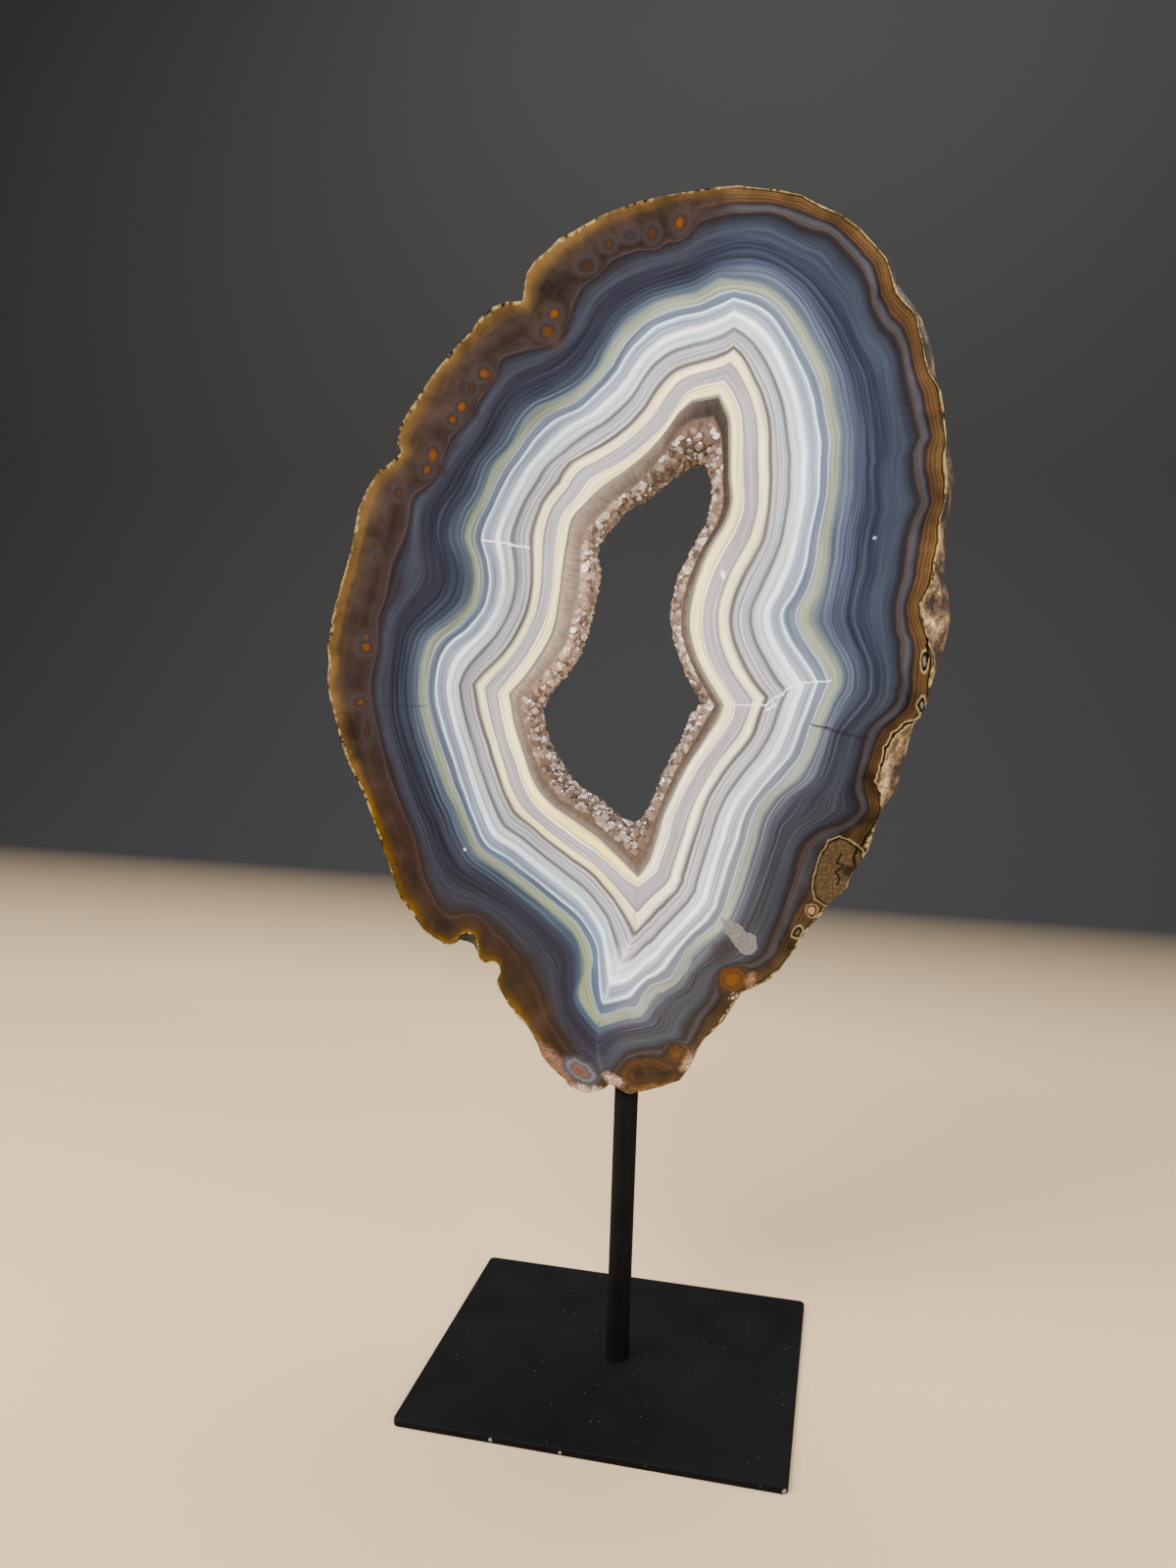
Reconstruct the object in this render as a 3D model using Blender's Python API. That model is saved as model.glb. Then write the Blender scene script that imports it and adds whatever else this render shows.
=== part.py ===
"""A polished agate slice, with its crystal-lined hollow, held upright on a rod and a flat steel plate.

Metres, +Z up. The origin is on the rod's axis at the plate's underside, and the cut faces of the
slice look along -Y and +Y.
"""

import math
import random

import bmesh
import bpy
from mathutils import Vector, noise

MM = 0.001
GAP = 0.3 * MM
CRUST_GAP = 0.4 * MM

# Stand
PLATE_WIDTH = 124 * MM
PLATE_DEPTH = 107 * MM
PLATE_THICKNESS = 2.3 * MM
PLATE_CORNER_RADIUS = 2.0 * MM
PLATE_EDGE_BEVEL = 0.3 * MM
ROD_RADIUS = 4.0 * MM
ROD_SIDES = 32
PIN_RADIUS = 2.5 * MM
PIN_LENGTH = 10.0 * MM
PIN_CHAMFER = 0.4 * MM
SEAT_HEIGHT = 101.5 * MM
SEAT_CUT_DEPTH = 12.0 * MM
BLACK_PAINT = (0.018, 0.018, 0.02)

# Agate slice
SLICE_THICKNESS = 12.0 * MM
FRONT = -SLICE_THICKNESS / 2
BACK = SLICE_THICKNESS / 2
FLARE_CENTRE = (0.0, 245 * MM)
FLARE_CURVE = 0.6
RIM_LAYERS = (0.0, 0.22, 0.5, 0.78, 1.0)
RIM_ROUGHNESS = 2.6 * MM
RIM_EDGE_ROUGHNESS = 0.4 * MM
RIM_INSET = 0.35
RIM_LUMP = 9.0 * MM
RIM_PIT = 3.0 * MM
SMOOTH_ANGLE = 30

# Crystal crust
COLUMNS_PER_ROW = 4
DRUSE_ROWS = 10
QUARTZ_SHARE = 0.48
DRUSE_ROUNDNESS = 0.8
CRYSTAL_HEIGHT = 2.3 * MM
CRYSTAL_LEAST_HEIGHT = 0.4
VALLEY_DEPTH = 0.7 * MM
CRYSTAL_SCATTER = 0.4 * MM
FACE_RECESS = 0.25 * MM
CRUST_HALF_DEPTH = SLICE_THICKNESS / 2 - FACE_RECESS
SEED = 11

# Rows of HOLLOW whose corner stays sharp, with straight runs beside it.
SHARP_ROWS = (0, 13, 21, 30, 44)

# The cut outline of the front face, clockwise from the top, seen from the front: x and z, and how
# far the rough skin stands out past it at the back face, in millimetres.
OUTLINE = (
    (16, 386.3, 0), (25, 386.6, 0), (37, 385, 0), (45, 382.8, 0), (50, 380, 0.3), (56, 377.3, 0.5),
    (62, 373, 0.8), (66.5, 368.5, 1), (70.3, 364, 1.2), (72.3, 358.5, 2.5), (74.5, 353.7, 3.5),
    (80, 347.6, 2.8), (81.5, 342, 3.8), (83, 336, 4), (84.8, 331, 3), (88, 326, 0.6), (89.7, 319, 0.4),
    (90.8, 311.5, 0.6), (90.6, 306, 3), (91.6, 300, 3.2), (91.5, 294, 2.8), (90.2, 288, 4),
    (91, 282, 2.2), (89.6, 275, 4), (89.2, 268.5, 5), (86.3, 263, 9), (87.5, 257.5, 8.3),
    (89.2, 252, 6), (91, 247.5, 3.2), (91.3, 241.5, 1.3), (90.6, 236, 0.4), (89.5, 231.5, 0.4),
    (87, 228, 1), (82, 222.5, 4.2), (79.2, 217, 6), (77, 211, 7), (76.3, 207.5, 7), (78, 204, 3.5),
    (78.2, 200, 0.8), (76.6, 194, 0.6), (75.2, 188, 0.6), (72.8, 182.5, 0.6), (70, 178, 0.6),
    (68.6, 174, 0.6), (64, 169, 0.6), (61, 164, 0.6), (56.5, 158, 0.6), (53.3, 151.5, 0.6),
    (49.7, 146, 0.6), (46, 141.8, 0.8), (41.5, 139.2, 0.8), (37.5, 137.2, 1.5), (34.3, 132, 2),
    (31, 126, 2), (26.5, 120.3, 1.2), (23.8, 116, 0.8), (21.8, 110, 0.6), (18.8, 105.5, 0.4),
    (13, 102.9, 0), (8.6, 101.2, 0), (3.6, 99.4, 0), (1.9, 98.9, 0), (-1.2, 100.1, 0),
    (-4.5, 101.6, 0), (-6.7, 99.6, 0), (-10.3, 98.1, 0), (-14, 97.7, 0), (-18.7, 99.3, 0),
    (-20.7, 102, 0), (-25.3, 105.3, 0), (-28.7, 109.3, 0), (-30, 112.7, 0), (-33.3, 118, 0),
    (-36.7, 121.3, 0), (-40.7, 126, 0), (-45, 132.7, 0), (-43.8, 136, 0.5), (-44, 139, 0.5),
    (-46.7, 140.1, 0.5), (-49.5, 139, 1), (-51.3, 140.7, 2.5), (-52, 145.3, 5.5), (-53.3, 148, 7),
    (-55.7, 149.3, 7), (-58, 148.3, 5.5), (-60, 145.3, 2), (-62.3, 144, 0.5), (-64.7, 145.3, 0.3),
    (-70.7, 148.3, 0), (-76, 154.7, 0), (-80, 159.5, 0), (-85, 173, 0), (-89.5, 184.5, 0),
    (-94, 195.7, 0), (-100, 206.3, 0), (-102.3, 213, 0), (-106, 226.3, 0), (-107, 233, 0),
    (-106.7, 239.7, 0), (-107, 243.7, 0), (-105.5, 253, 0.8), (-102.7, 263.7, 1), (-98.7, 276.3, 0.4),
    (-97.7, 283, 0), (-96.2, 289.7, 0), (-93.3, 296, 0), (-89.3, 302, 0), (-84.7, 305.3, 0),
    (-81.3, 308.2, 0), (-83, 311.3, 0), (-82.3, 316, 0), (-80, 320, 0), (-76, 326, 0),
    (-72, 331.3, 0), (-64, 340.7, 0), (-58, 346, 0), (-55.3, 350, 0), (-51.3, 353.3, 0),
    (-47.3, 354.7, 0), (-41.5, 354.9, 0), (-41, 358, 0), (-40.3, 363.3, 0), (-38, 366.7, 0),
    (-33.3, 370, 0), (-30, 373.3, 0), (-24, 376, 0), (-18, 379.3, 0), (-10, 381.7, 0),
    (-5, 383.3, 0), (5, 385, 0),
)

# The hollow, clockwise from its top corner: the edge of the banded agate, and the crystal tips that
# stand on that spot, as x and z in millimetres.
HOLLOW = (
    (22, 324.4, 17.5, 304), (25, 318.5, 18.6, 302), (25.8, 310, 19.8, 299.5), (26.1, 304.7, 20.1, 297.3),
    (26.3, 300, 20, 295), (27.1, 293, 19.4, 290), (25.3, 286.5, 17.7, 284.5), (20.3, 277.7, 14, 278),
    (17, 268.5, 10.5, 271), (15.3, 260, 8.2, 262), (15.4, 252.5, 8.6, 253), (18, 244.3, 11, 246),
    (22, 237, 15, 237), (27, 229.5, 19.8, 229.7), (25.7, 225.7, 15.5, 225), (20.3, 216.3, 13, 218),
    (15.6, 208.2, 9, 210), (12, 199.7, 6.2, 203), (9.3, 192.7, 4.7, 198), (7.3, 184.7, 3, 194.2),
    (5.3, 178, 1.6, 191.8), (2.3, 173.2, 0, 190.2), (-3.3, 178.7, -2.8, 191), (-10.7, 185.3, -7, 193.5),
    (-14.8, 187.9, -9.5, 195.5), (-18.7, 190.3, -12.7, 198), (-26.7, 195, -20, 201.7),
    (-32.7, 201.7, -24.5, 208), (-37.2, 212.5, -28.6, 214.3), (-40.2, 221, -31, 220.5),
    (-42, 230.7, -32.3, 225), (-38, 235, -29.5, 230), (-33.3, 241.7, -24.5, 236.5),
    (-29.3, 248.3, -20.3, 243), (-27.3, 255, -17.2, 251.5), (-26.2, 263, -14.7, 263),
    (-25.5, 271, -13.6, 270), (-24.4, 279, -14.9, 277), (-22.7, 287, -13, 281.5),
    (-18.2, 292.2, -9.5, 285.5), (-12, 297.5, -5, 290.7), (-5, 302.7, -0.5, 292.7), (3, 310, 5, 297.3),
    (10.3, 320, 10.3, 301.3), (14, 323, 14.5, 303.5),
)


def clear_scene():
    for existing in list(bpy.data.objects):
        bpy.data.objects.remove(existing, do_unlink=True)


def make_material(name, colour, roughness, metallic=0.0):
    material = bpy.data.materials.new(name)
    material.use_nodes = True
    shader = material.node_tree.nodes["Principled BSDF"]
    shader.inputs["Base Color"].default_value = (*colour, 1.0)
    shader.inputs["Roughness"].default_value = roughness
    shader.inputs["Metallic"].default_value = metallic
    material.diffuse_color = (*colour, 1.0)
    return material


def make_object(name, bm, material, smooth_angle=None):
    mesh = bpy.data.meshes.new(name)
    bm.to_mesh(mesh)
    bm.free()
    if smooth_angle is not None:
        mesh.shade_smooth()
        mesh.set_sharp_from_angle(angle=math.radians(smooth_angle))
    obj = bpy.data.objects.new(name, mesh)
    obj.data.materials.append(material)
    bpy.context.scene.collection.objects.link(obj)
    return obj


def add_ring(bm, points, y):
    return [bm.verts.new((x, y, z)) for x, z in points]


def join_rings(bm, first, second):
    count = len(first)
    for i in range(count):
        j = (i + 1) % count
        bm.faces.new((first[i], first[j], second[j], second[i]))


def fill_between(bm, outer, inner):
    """Fill the flat face between two rings of vertices that lie in one plane."""
    edges = []
    for ring in (outer, inner):
        for i, vert in enumerate(ring):
            edges.append(bm.edges.get((vert, ring[(i + 1) % len(ring)])))
    bmesh.ops.triangle_fill(bm, use_beauty=True, edges=edges)


def close_up(bm):
    bmesh.ops.triangulate(bm, faces=bm.faces[:])
    bmesh.ops.recalc_face_normals(bm, faces=bm.faces[:])


def mix(a, b, share):
    return a + (b - a) * share


def curve_value(before, start, end, after, share):
    """A Catmull-Rom curve's value between start and end."""
    straight = 2 * start + (end - before) * share
    bend = (2 * before - 5 * start + 4 * end - after) * share ** 2
    twist = (3 * start - before - 3 * end + after) * share ** 3
    return 0.5 * (straight + bend + twist)


def hollow_columns():
    """The hollow's columns: an (agate edge, crystal tip) pair of (x, z) points for each."""
    columns = []
    count = len(HOLLOW)
    for i in range(count):
        before, start = HOLLOW[i - 1], HOLLOW[i]
        end, after = HOLLOW[(i + 1) % count], HOLLOW[(i + 2) % count]
        straight = i in SHARP_ROWS or (i + 1) % count in SHARP_ROWS
        for step in range(COLUMNS_PER_ROW):
            share = step / COLUMNS_PER_ROW
            if straight:
                values = [mix(a, b, share) for a, b in zip(start, end)]
            else:
                values = [curve_value(*four, share) for four in zip(before, start, end, after)]
            x, z, tip_x, tip_z = (value * MM for value in values)
            columns.append(((x, z), (tip_x, tip_z)))
    return columns


def slice_outline(depth_share):
    """The slice's outline at a share of its thickness, from 0 at the front to 1 at the back."""
    points = []
    count = len(OUTLINE)
    y = mix(FRONT, BACK, depth_share)
    edge = abs(depth_share - 0.5) * 2
    amount = mix(RIM_ROUGHNESS, RIM_EDGE_ROUGHNESS, edge)
    for i in range(count):
        start, end = OUTLINE[i], OUTLINE[(i + 1) % count]
        for share in (0.0, 0.5):
            x, z, flare = (mix(a, b, share) * MM for a, b in zip(start, end))
            outward = Vector((x - FLARE_CENTRE[0], z - FLARE_CENTRE[1])).normalized()
            lump = noise.noise(Vector((x, y, z)) / RIM_LUMP)
            pit = noise.noise(Vector((x, y, z)) / RIM_PIT)
            push = flare * depth_share ** FLARE_CURVE + amount * (lump + 0.5 * pit - RIM_INSET * (1 - edge))
            points.append((x + outward.x * push, z + outward.y * push))
    return points


def make_slice():
    bm = bmesh.new()
    hollow = [edge for edge, _ in hollow_columns()]
    rings = [add_ring(bm, slice_outline(share), mix(FRONT, BACK, share)) for share in RIM_LAYERS]
    for first, second in zip(rings, rings[1:]):
        join_rings(bm, first, second)
    hollow_front = add_ring(bm, hollow, FRONT)
    hollow_back = add_ring(bm, hollow, BACK)
    join_rings(bm, hollow_front, hollow_back)
    fill_between(bm, rings[0], hollow_front)
    fill_between(bm, rings[-1], hollow_back)
    close_up(bm)
    stone = make_material("banded_agate", (0.42, 0.44, 0.48), 0.12)
    agate = make_object("agate_slice", bm, stone, SMOOTH_ANGLE)
    for cutter in make_seat_cutters():
        cut = agate.modifiers.new(cutter.name, "BOOLEAN")
        cut.operation = "DIFFERENCE"
        cut.object = cutter
    return agate


def make_seat_cutters():
    """The flat spot ground under the slice for the rod's shoulder, and the blind hole for its pin."""
    cutters = []
    plain = bpy.data.materials.new("cutter")
    sizes = (
        ("seat_cutter", ROD_RADIUS + GAP, SEAT_HEIGHT),
        ("pin_hole_cutter", PIN_RADIUS + GAP, SEAT_HEIGHT + PIN_LENGTH + GAP),
    )
    for name, radius, top in sizes:
        bm = bmesh.new()
        add_turned(bm, ((radius, SEAT_HEIGHT - SEAT_CUT_DEPTH), (radius, top)))
        cutter = make_object(name, bm, plain)
        cutter.hide_render = True
        cutter.display_type = "WIRE"
        cutters.append(cutter)
    return cutters


def add_turned(bm, profile):
    """A solid of revolution about the rod's axis, from (radius, height) pairs from the bottom up."""
    rings = []
    for radius, height in profile:
        ring = []
        for i in range(ROD_SIDES):
            angle = 2 * math.pi * i / ROD_SIDES
            ring.append(bm.verts.new((radius * math.cos(angle), radius * math.sin(angle), height)))
        rings.append(ring)
    for first, second in zip(rings, rings[1:]):
        join_rings(bm, first, second)
    bm.faces.new(rings[0])
    bm.faces.new(rings[-1])
    bmesh.ops.recalc_face_normals(bm, faces=bm.faces[:])


def druse_point(edge, tip, along, lift):
    """A point of the crystals' surface, from the front face (along 0) round to the back face (1)."""
    angle = math.pi * along
    root = (mix(edge[0], tip[0], QUARTZ_SHARE), mix(edge[1], tip[1], QUARTZ_SHARE))
    reach = Vector((tip[0] - root[0], tip[1] - root[1]))
    width = reach.length
    outward = reach / width
    sideways = math.sin(angle) ** DRUSE_ROUNDNESS
    distance = (width - CRYSTAL_HEIGHT) * sideways + lift * math.sin(angle)
    y = -(CRUST_HALF_DEPTH + lift) * math.cos(angle)
    return Vector((root[0] + outward.x * distance, y, root[1] + outward.y * distance))


def cut_flush(point):
    """Keep a point between the two sawn faces."""
    point.y = max(-CRUST_HALF_DEPTH, min(CRUST_HALF_DEPTH, point.y))


def between_columns(columns, position):
    """The edge and tip at a place between two columns, counted round the hollow."""
    low = math.floor(position)
    share = position - low
    first, second = columns[low % len(columns)], columns[(low + 1) % len(columns)]
    edge, tip = (
        tuple(mix(a, b, share) for a, b in zip(first[part], second[part])) for part in (0, 1)
    )
    return edge, tip


def join_lattice_rows(bm, low, high, low_is_shifted):
    count = len(low)
    for i in range(count):
        j = (i + 1) % count
        if low_is_shifted:
            bm.faces.new((low[i], low[j], high[j]))
            bm.faces.new((low[i], high[j], high[i]))
        else:
            bm.faces.new((low[i], low[j], high[i]))
            bm.faces.new((low[j], high[j], high[i]))


def make_crust():
    """The hollow's lining: a quartz layer on the agate, and six-sided crystals grown out of it.

    The crystals' surface is a lattice of triangles whose every third point is a tip and whose other
    points are the valleys between crystals, so each crystal has six flat faces.
    """
    chance = random.Random(SEED)
    columns = hollow_columns()
    count = len(columns)
    bm = bmesh.new()
    wall = []
    for (x, z), (tip_x, tip_z) in columns:
        inward = Vector((tip_x - x, tip_z - z)).normalized() * CRUST_GAP
        wall.append((x + inward.x, z + inward.y))
    wall_front = add_ring(bm, wall, -CRUST_HALF_DEPTH)
    wall_back = add_ring(bm, wall, CRUST_HALF_DEPTH)
    join_rings(bm, wall_front, wall_back)
    rows = []
    for row in range(DRUSE_ROWS + 1):
        ring = []
        for column in range(count):
            skewed = column - row // 2
            is_tip = (skewed - row) % 3 == 0
            inner_row = 0 < row < DRUSE_ROWS
            lift = -VALLEY_DEPTH * chance.random()
            if is_tip:
                lift = CRYSTAL_HEIGHT * mix(CRYSTAL_LEAST_HEIGHT, 1.0, chance.random())
            edge, tip = between_columns(columns, column + 0.5 * (row % 2))
            point = druse_point(edge, tip, row / DRUSE_ROWS, lift if inner_row else 0.0)
            scatter = Vector([chance.uniform(-1, 1) for _ in range(3)]) * CRYSTAL_SCATTER
            if inner_row:
                point += scatter
                cut_flush(point)
            ring.append(bm.verts.new(point))
        rows.append(ring)
    for row in range(DRUSE_ROWS):
        join_lattice_rows(bm, rows[row], rows[row + 1], row % 2 == 1)
    join_rings(bm, wall_front, rows[0])
    join_rings(bm, wall_back, rows[-1])
    close_up(bm)
    quartz = make_material("smoky_quartz", (0.38, 0.29, 0.27), 0.2)
    return make_object("crystal_crust", bm, quartz)


def make_rod():
    bm = bmesh.new()
    shoulder = SEAT_HEIGHT - GAP
    pin_top = shoulder + PIN_LENGTH
    add_turned(bm, (
        (ROD_RADIUS, PLATE_THICKNESS + GAP),
        (ROD_RADIUS, shoulder),
        (PIN_RADIUS, shoulder),
        (PIN_RADIUS, pin_top - PIN_CHAMFER),
        (PIN_RADIUS - PIN_CHAMFER, pin_top),
    ))
    paint = make_material("black_painted_bar", BLACK_PAINT, 0.45)
    return make_object("rod", bm, paint, SMOOTH_ANGLE)


def make_base_plate():
    bm = bmesh.new()
    bmesh.ops.create_cube(bm, size=1.0)
    bmesh.ops.scale(bm, vec=(PLATE_WIDTH, PLATE_DEPTH, PLATE_THICKNESS), verts=bm.verts)
    bmesh.ops.translate(bm, vec=(0, 0, PLATE_THICKNESS / 2), verts=bm.verts)
    upright = [e for e in bm.edges if abs(e.verts[0].co.z - e.verts[1].co.z) > PLATE_THICKNESS / 2]
    bmesh.ops.bevel(bm, geom=upright, offset=PLATE_CORNER_RADIUS, segments=4, profile=0.5, affect="EDGES")
    top = max(bm.faces, key=lambda face: face.calc_center_median().z)
    rim = list(top.edges)
    bmesh.ops.bevel(bm, geom=rim, offset=PLATE_EDGE_BEVEL, segments=2, profile=0.5, affect="EDGES")
    bmesh.ops.recalc_face_normals(bm, faces=bm.faces[:])
    paint = make_material("black_painted_plate", BLACK_PAINT, 0.5)
    return make_object("base_plate", bm, paint, SMOOTH_ANGLE)


def main():
    clear_scene()
    stand = bpy.data.objects.new("agate_on_stand", None)
    bpy.context.scene.collection.objects.link(stand)
    for piece in (make_base_plate(), make_rod(), make_slice(), make_crust()):
        piece.parent = stand


main()
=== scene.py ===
"""The looks of a banded agate slice on a steel stand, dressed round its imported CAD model.

The stone is grown from its growth lines: each line crosses the bands from the hollow to the skin, and
the bands are the rings between the lines. Lengths in the tables are millimetres, seen from the front.
"""

import logging
import math
import random
from dataclasses import dataclass, field
from enum import Enum
from typing import Callable, Sequence

import bpy
import numpy as np
from mathutils import Matrix, Vector, noise


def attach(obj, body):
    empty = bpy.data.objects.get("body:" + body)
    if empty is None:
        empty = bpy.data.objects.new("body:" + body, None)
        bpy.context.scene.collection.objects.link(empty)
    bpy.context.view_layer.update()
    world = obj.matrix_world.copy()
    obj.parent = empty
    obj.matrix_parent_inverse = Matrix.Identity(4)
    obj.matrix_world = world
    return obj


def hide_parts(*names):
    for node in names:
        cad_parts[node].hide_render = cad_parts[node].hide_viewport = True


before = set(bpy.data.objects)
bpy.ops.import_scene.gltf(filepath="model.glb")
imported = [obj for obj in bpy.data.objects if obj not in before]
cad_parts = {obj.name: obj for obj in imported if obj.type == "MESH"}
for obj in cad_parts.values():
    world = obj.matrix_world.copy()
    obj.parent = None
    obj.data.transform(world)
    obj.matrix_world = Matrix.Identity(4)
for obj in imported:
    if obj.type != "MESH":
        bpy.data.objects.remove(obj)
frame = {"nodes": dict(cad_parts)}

LOG = logging.getLogger("agate")
MM = 0.001
BODY = "root"
WELD_DISTANCE = 0.0005 * MM

Tree = bpy.types.NodeTree
Socket = bpy.types.NodeSocket
Piece = bpy.types.Object
Span = tuple[float, float]

# Settings that many nodes share, and the range that most noise values lie in.
SMOOTH = {"interpolation_type": "SMOOTHSTEP"}
COLOURS = {"data_type": "RGBA"}
TIMES = {"operation": "MULTIPLY"}
NOISE_RANGE = (0.3, 0.7)
SPECK_SCALE = 1.3
SPECK_RANGE = (0.5, 0.62)

# The slice's middle as x and z, which its skin stands out from, and the height that the lights aim at.
SLICE_MIDDLE = (0.0, 245.0)
AIM_HEIGHT = 240.0

# How tall a quartz point's six-sided prism is. Its pyramid is the rest.
PRISM_HEIGHT = 0.62

# The growth UV map and the attributes that the finishes read from the meshes.
GROWTH_UV = "growth"
FLARE = "flare_mm"
TOWARD_TIP = "toward_tip"
CRYSTAL_TONE = "crystal_tone"

# The front face's cut outline, clockwise from the top: x, z, and how far the rough skin stands out
# past it at the back face.
OUTLINE = (
    (16, 386.3, 0), (25, 386.6, 0), (37, 385, 0), (45, 382.8, 0), (50, 380, 0.3), (56, 377.3, 0.5),
    (62, 373, 0.8), (66.5, 368.5, 1), (70.3, 364, 1.2), (72.3, 358.5, 2.5), (74.5, 353.7, 3.5),
    (80, 347.6, 2.8), (81.5, 342, 3.8), (83, 336, 4), (84.8, 331, 3), (88, 326, 0.6), (89.7, 319, 0.4),
    (90.8, 311.5, 0.6), (90.6, 306, 3), (91.6, 300, 3.2), (91.5, 294, 2.8), (90.2, 288, 4),
    (91, 282, 2.2), (89.6, 275, 4), (89.2, 268.5, 5), (86.3, 263, 9), (87.5, 257.5, 8.3),
    (89.2, 252, 6), (91, 247.5, 3.2), (91.3, 241.5, 1.3), (90.6, 236, 0.4), (89.5, 231.5, 0.4),
    (87, 228, 1), (82, 222.5, 4.2), (79.2, 217, 6), (77, 211, 7), (76.3, 207.5, 7), (78, 204, 3.5),
    (78.2, 200, 0.8), (76.6, 194, 0.6), (75.2, 188, 0.6), (72.8, 182.5, 0.6), (70, 178, 0.6),
    (68.6, 174, 0.6), (64, 169, 0.6), (61, 164, 0.6), (56.5, 158, 0.6), (53.3, 151.5, 0.6),
    (49.7, 146, 0.6), (46, 141.8, 0.8), (41.5, 139.2, 0.8), (37.5, 137.2, 1.5), (34.3, 132, 2),
    (31, 126, 2), (26.5, 120.3, 1.2), (23.8, 116, 0.8), (21.8, 110, 0.6), (18.8, 105.5, 0.4),
    (13, 102.9, 0), (8.6, 101.2, 0), (3.6, 99.4, 0), (1.9, 98.9, 0), (-1.2, 100.1, 0),
    (-4.5, 101.6, 0), (-6.7, 99.6, 0), (-10.3, 98.1, 0), (-14, 97.7, 0), (-18.7, 99.3, 0),
    (-20.7, 102, 0), (-25.3, 105.3, 0), (-28.7, 109.3, 0), (-30, 112.7, 0), (-33.3, 118, 0),
    (-36.7, 121.3, 0), (-40.7, 126, 0), (-45, 132.7, 0), (-43.8, 136, 0.5), (-44, 139, 0.5),
    (-46.7, 140.1, 0.5), (-49.5, 139, 1), (-51.3, 140.7, 2.5), (-52, 145.3, 5.5), (-53.3, 148, 7),
    (-55.7, 149.3, 7), (-58, 148.3, 5.5), (-60, 145.3, 2), (-62.3, 144, 0.5), (-64.7, 145.3, 0.3),
    (-70.7, 148.3, 0), (-76, 154.7, 0), (-80, 159.5, 0), (-85, 173, 0), (-89.5, 184.5, 0),
    (-94, 195.7, 0), (-100, 206.3, 0), (-102.3, 213, 0), (-106, 226.3, 0), (-107, 233, 0),
    (-106.7, 239.7, 0), (-107, 243.7, 0), (-105.5, 253, 0.8), (-102.7, 263.7, 1), (-98.7, 276.3, 0.4),
    (-97.7, 283, 0), (-96.2, 289.7, 0), (-93.3, 296, 0), (-89.3, 302, 0), (-84.7, 305.3, 0),
    (-81.3, 308.2, 0), (-83, 311.3, 0), (-82.3, 316, 0), (-80, 320, 0), (-76, 326, 0),
    (-72, 331.3, 0), (-64, 340.7, 0), (-58, 346, 0), (-55.3, 350, 0), (-51.3, 353.3, 0),
    (-47.3, 354.7, 0), (-41.5, 354.9, 0), (-41, 358, 0), (-40.3, 363.3, 0), (-38, 366.7, 0),
    (-33.3, 370, 0), (-30, 373.3, 0), (-24, 376, 0), (-18, 379.3, 0), (-10, 381.7, 0),
    (-5, 383.3, 0), (5, 385, 0),
)

# The hollow, clockwise from its top corner: the banded agate's edge, and the crystal tips that stand
# on that spot, as x and z. Rows in HOLLOW_CORNERS keep a sharp corner.
HOLLOW_CORNERS = (0, 13, 21, 30, 44)
HOLLOW = (
    (22, 324.4, 17.5, 304), (25, 318.5, 18.6, 302), (25.8, 310, 19.8, 299.5), (26.1, 304.7, 20.1, 297.3),
    (26.3, 300, 20, 295), (27.1, 293, 19.4, 290), (25.3, 286.5, 17.7, 284.5), (20.3, 277.7, 14, 278),
    (17, 268.5, 10.5, 271), (15.3, 260, 8.2, 262), (15.4, 252.5, 8.6, 253), (18, 244.3, 11, 246),
    (22, 237, 15, 237), (27, 229.5, 19.8, 229.7), (25.7, 225.7, 15.5, 225), (20.3, 216.3, 13, 218),
    (15.6, 208.2, 9, 210), (12, 199.7, 6.2, 203), (9.3, 192.7, 4.7, 198), (7.3, 184.7, 3, 194.2),
    (5.3, 178, 1.6, 191.8), (2.3, 173.2, 0, 190.2), (-3.3, 178.7, -2.8, 191), (-10.7, 185.3, -7, 193.5),
    (-14.8, 187.9, -9.5, 195.5), (-18.7, 190.3, -12.7, 198), (-26.7, 195, -20, 201.7),
    (-32.7, 201.7, -24.5, 208), (-37.2, 212.5, -28.6, 214.3), (-40.2, 221, -31, 220.5),
    (-42, 230.7, -32.3, 225), (-38, 235, -29.5, 230), (-33.3, 241.7, -24.5, 236.5),
    (-29.3, 248.3, -20.3, 243), (-27.3, 255, -17.2, 251.5), (-26.2, 263, -14.7, 263),
    (-25.5, 271, -13.6, 270), (-24.4, 279, -14.9, 277), (-22.7, 287, -13, 281.5),
    (-18.2, 292.2, -9.5, 285.5), (-12, 297.5, -5, 290.7), (-5, 302.7, -0.5, 292.7), (3, 310, 5, 297.3),
    (10.3, 320, 10.3, 301.3), (14, 323, 14.5, 303.5),
)

# How far out each contour lies, on the scale of the bands at the slice's widest place: the hollow,
# bright cream, the dark line, the white line, sage, navy, the rind and the skin.
CONTOUR_BANDS = (0.0, 5.0, 13.0, 28.0, 34.0, 45.5, 57.0, 65.0)

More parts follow.
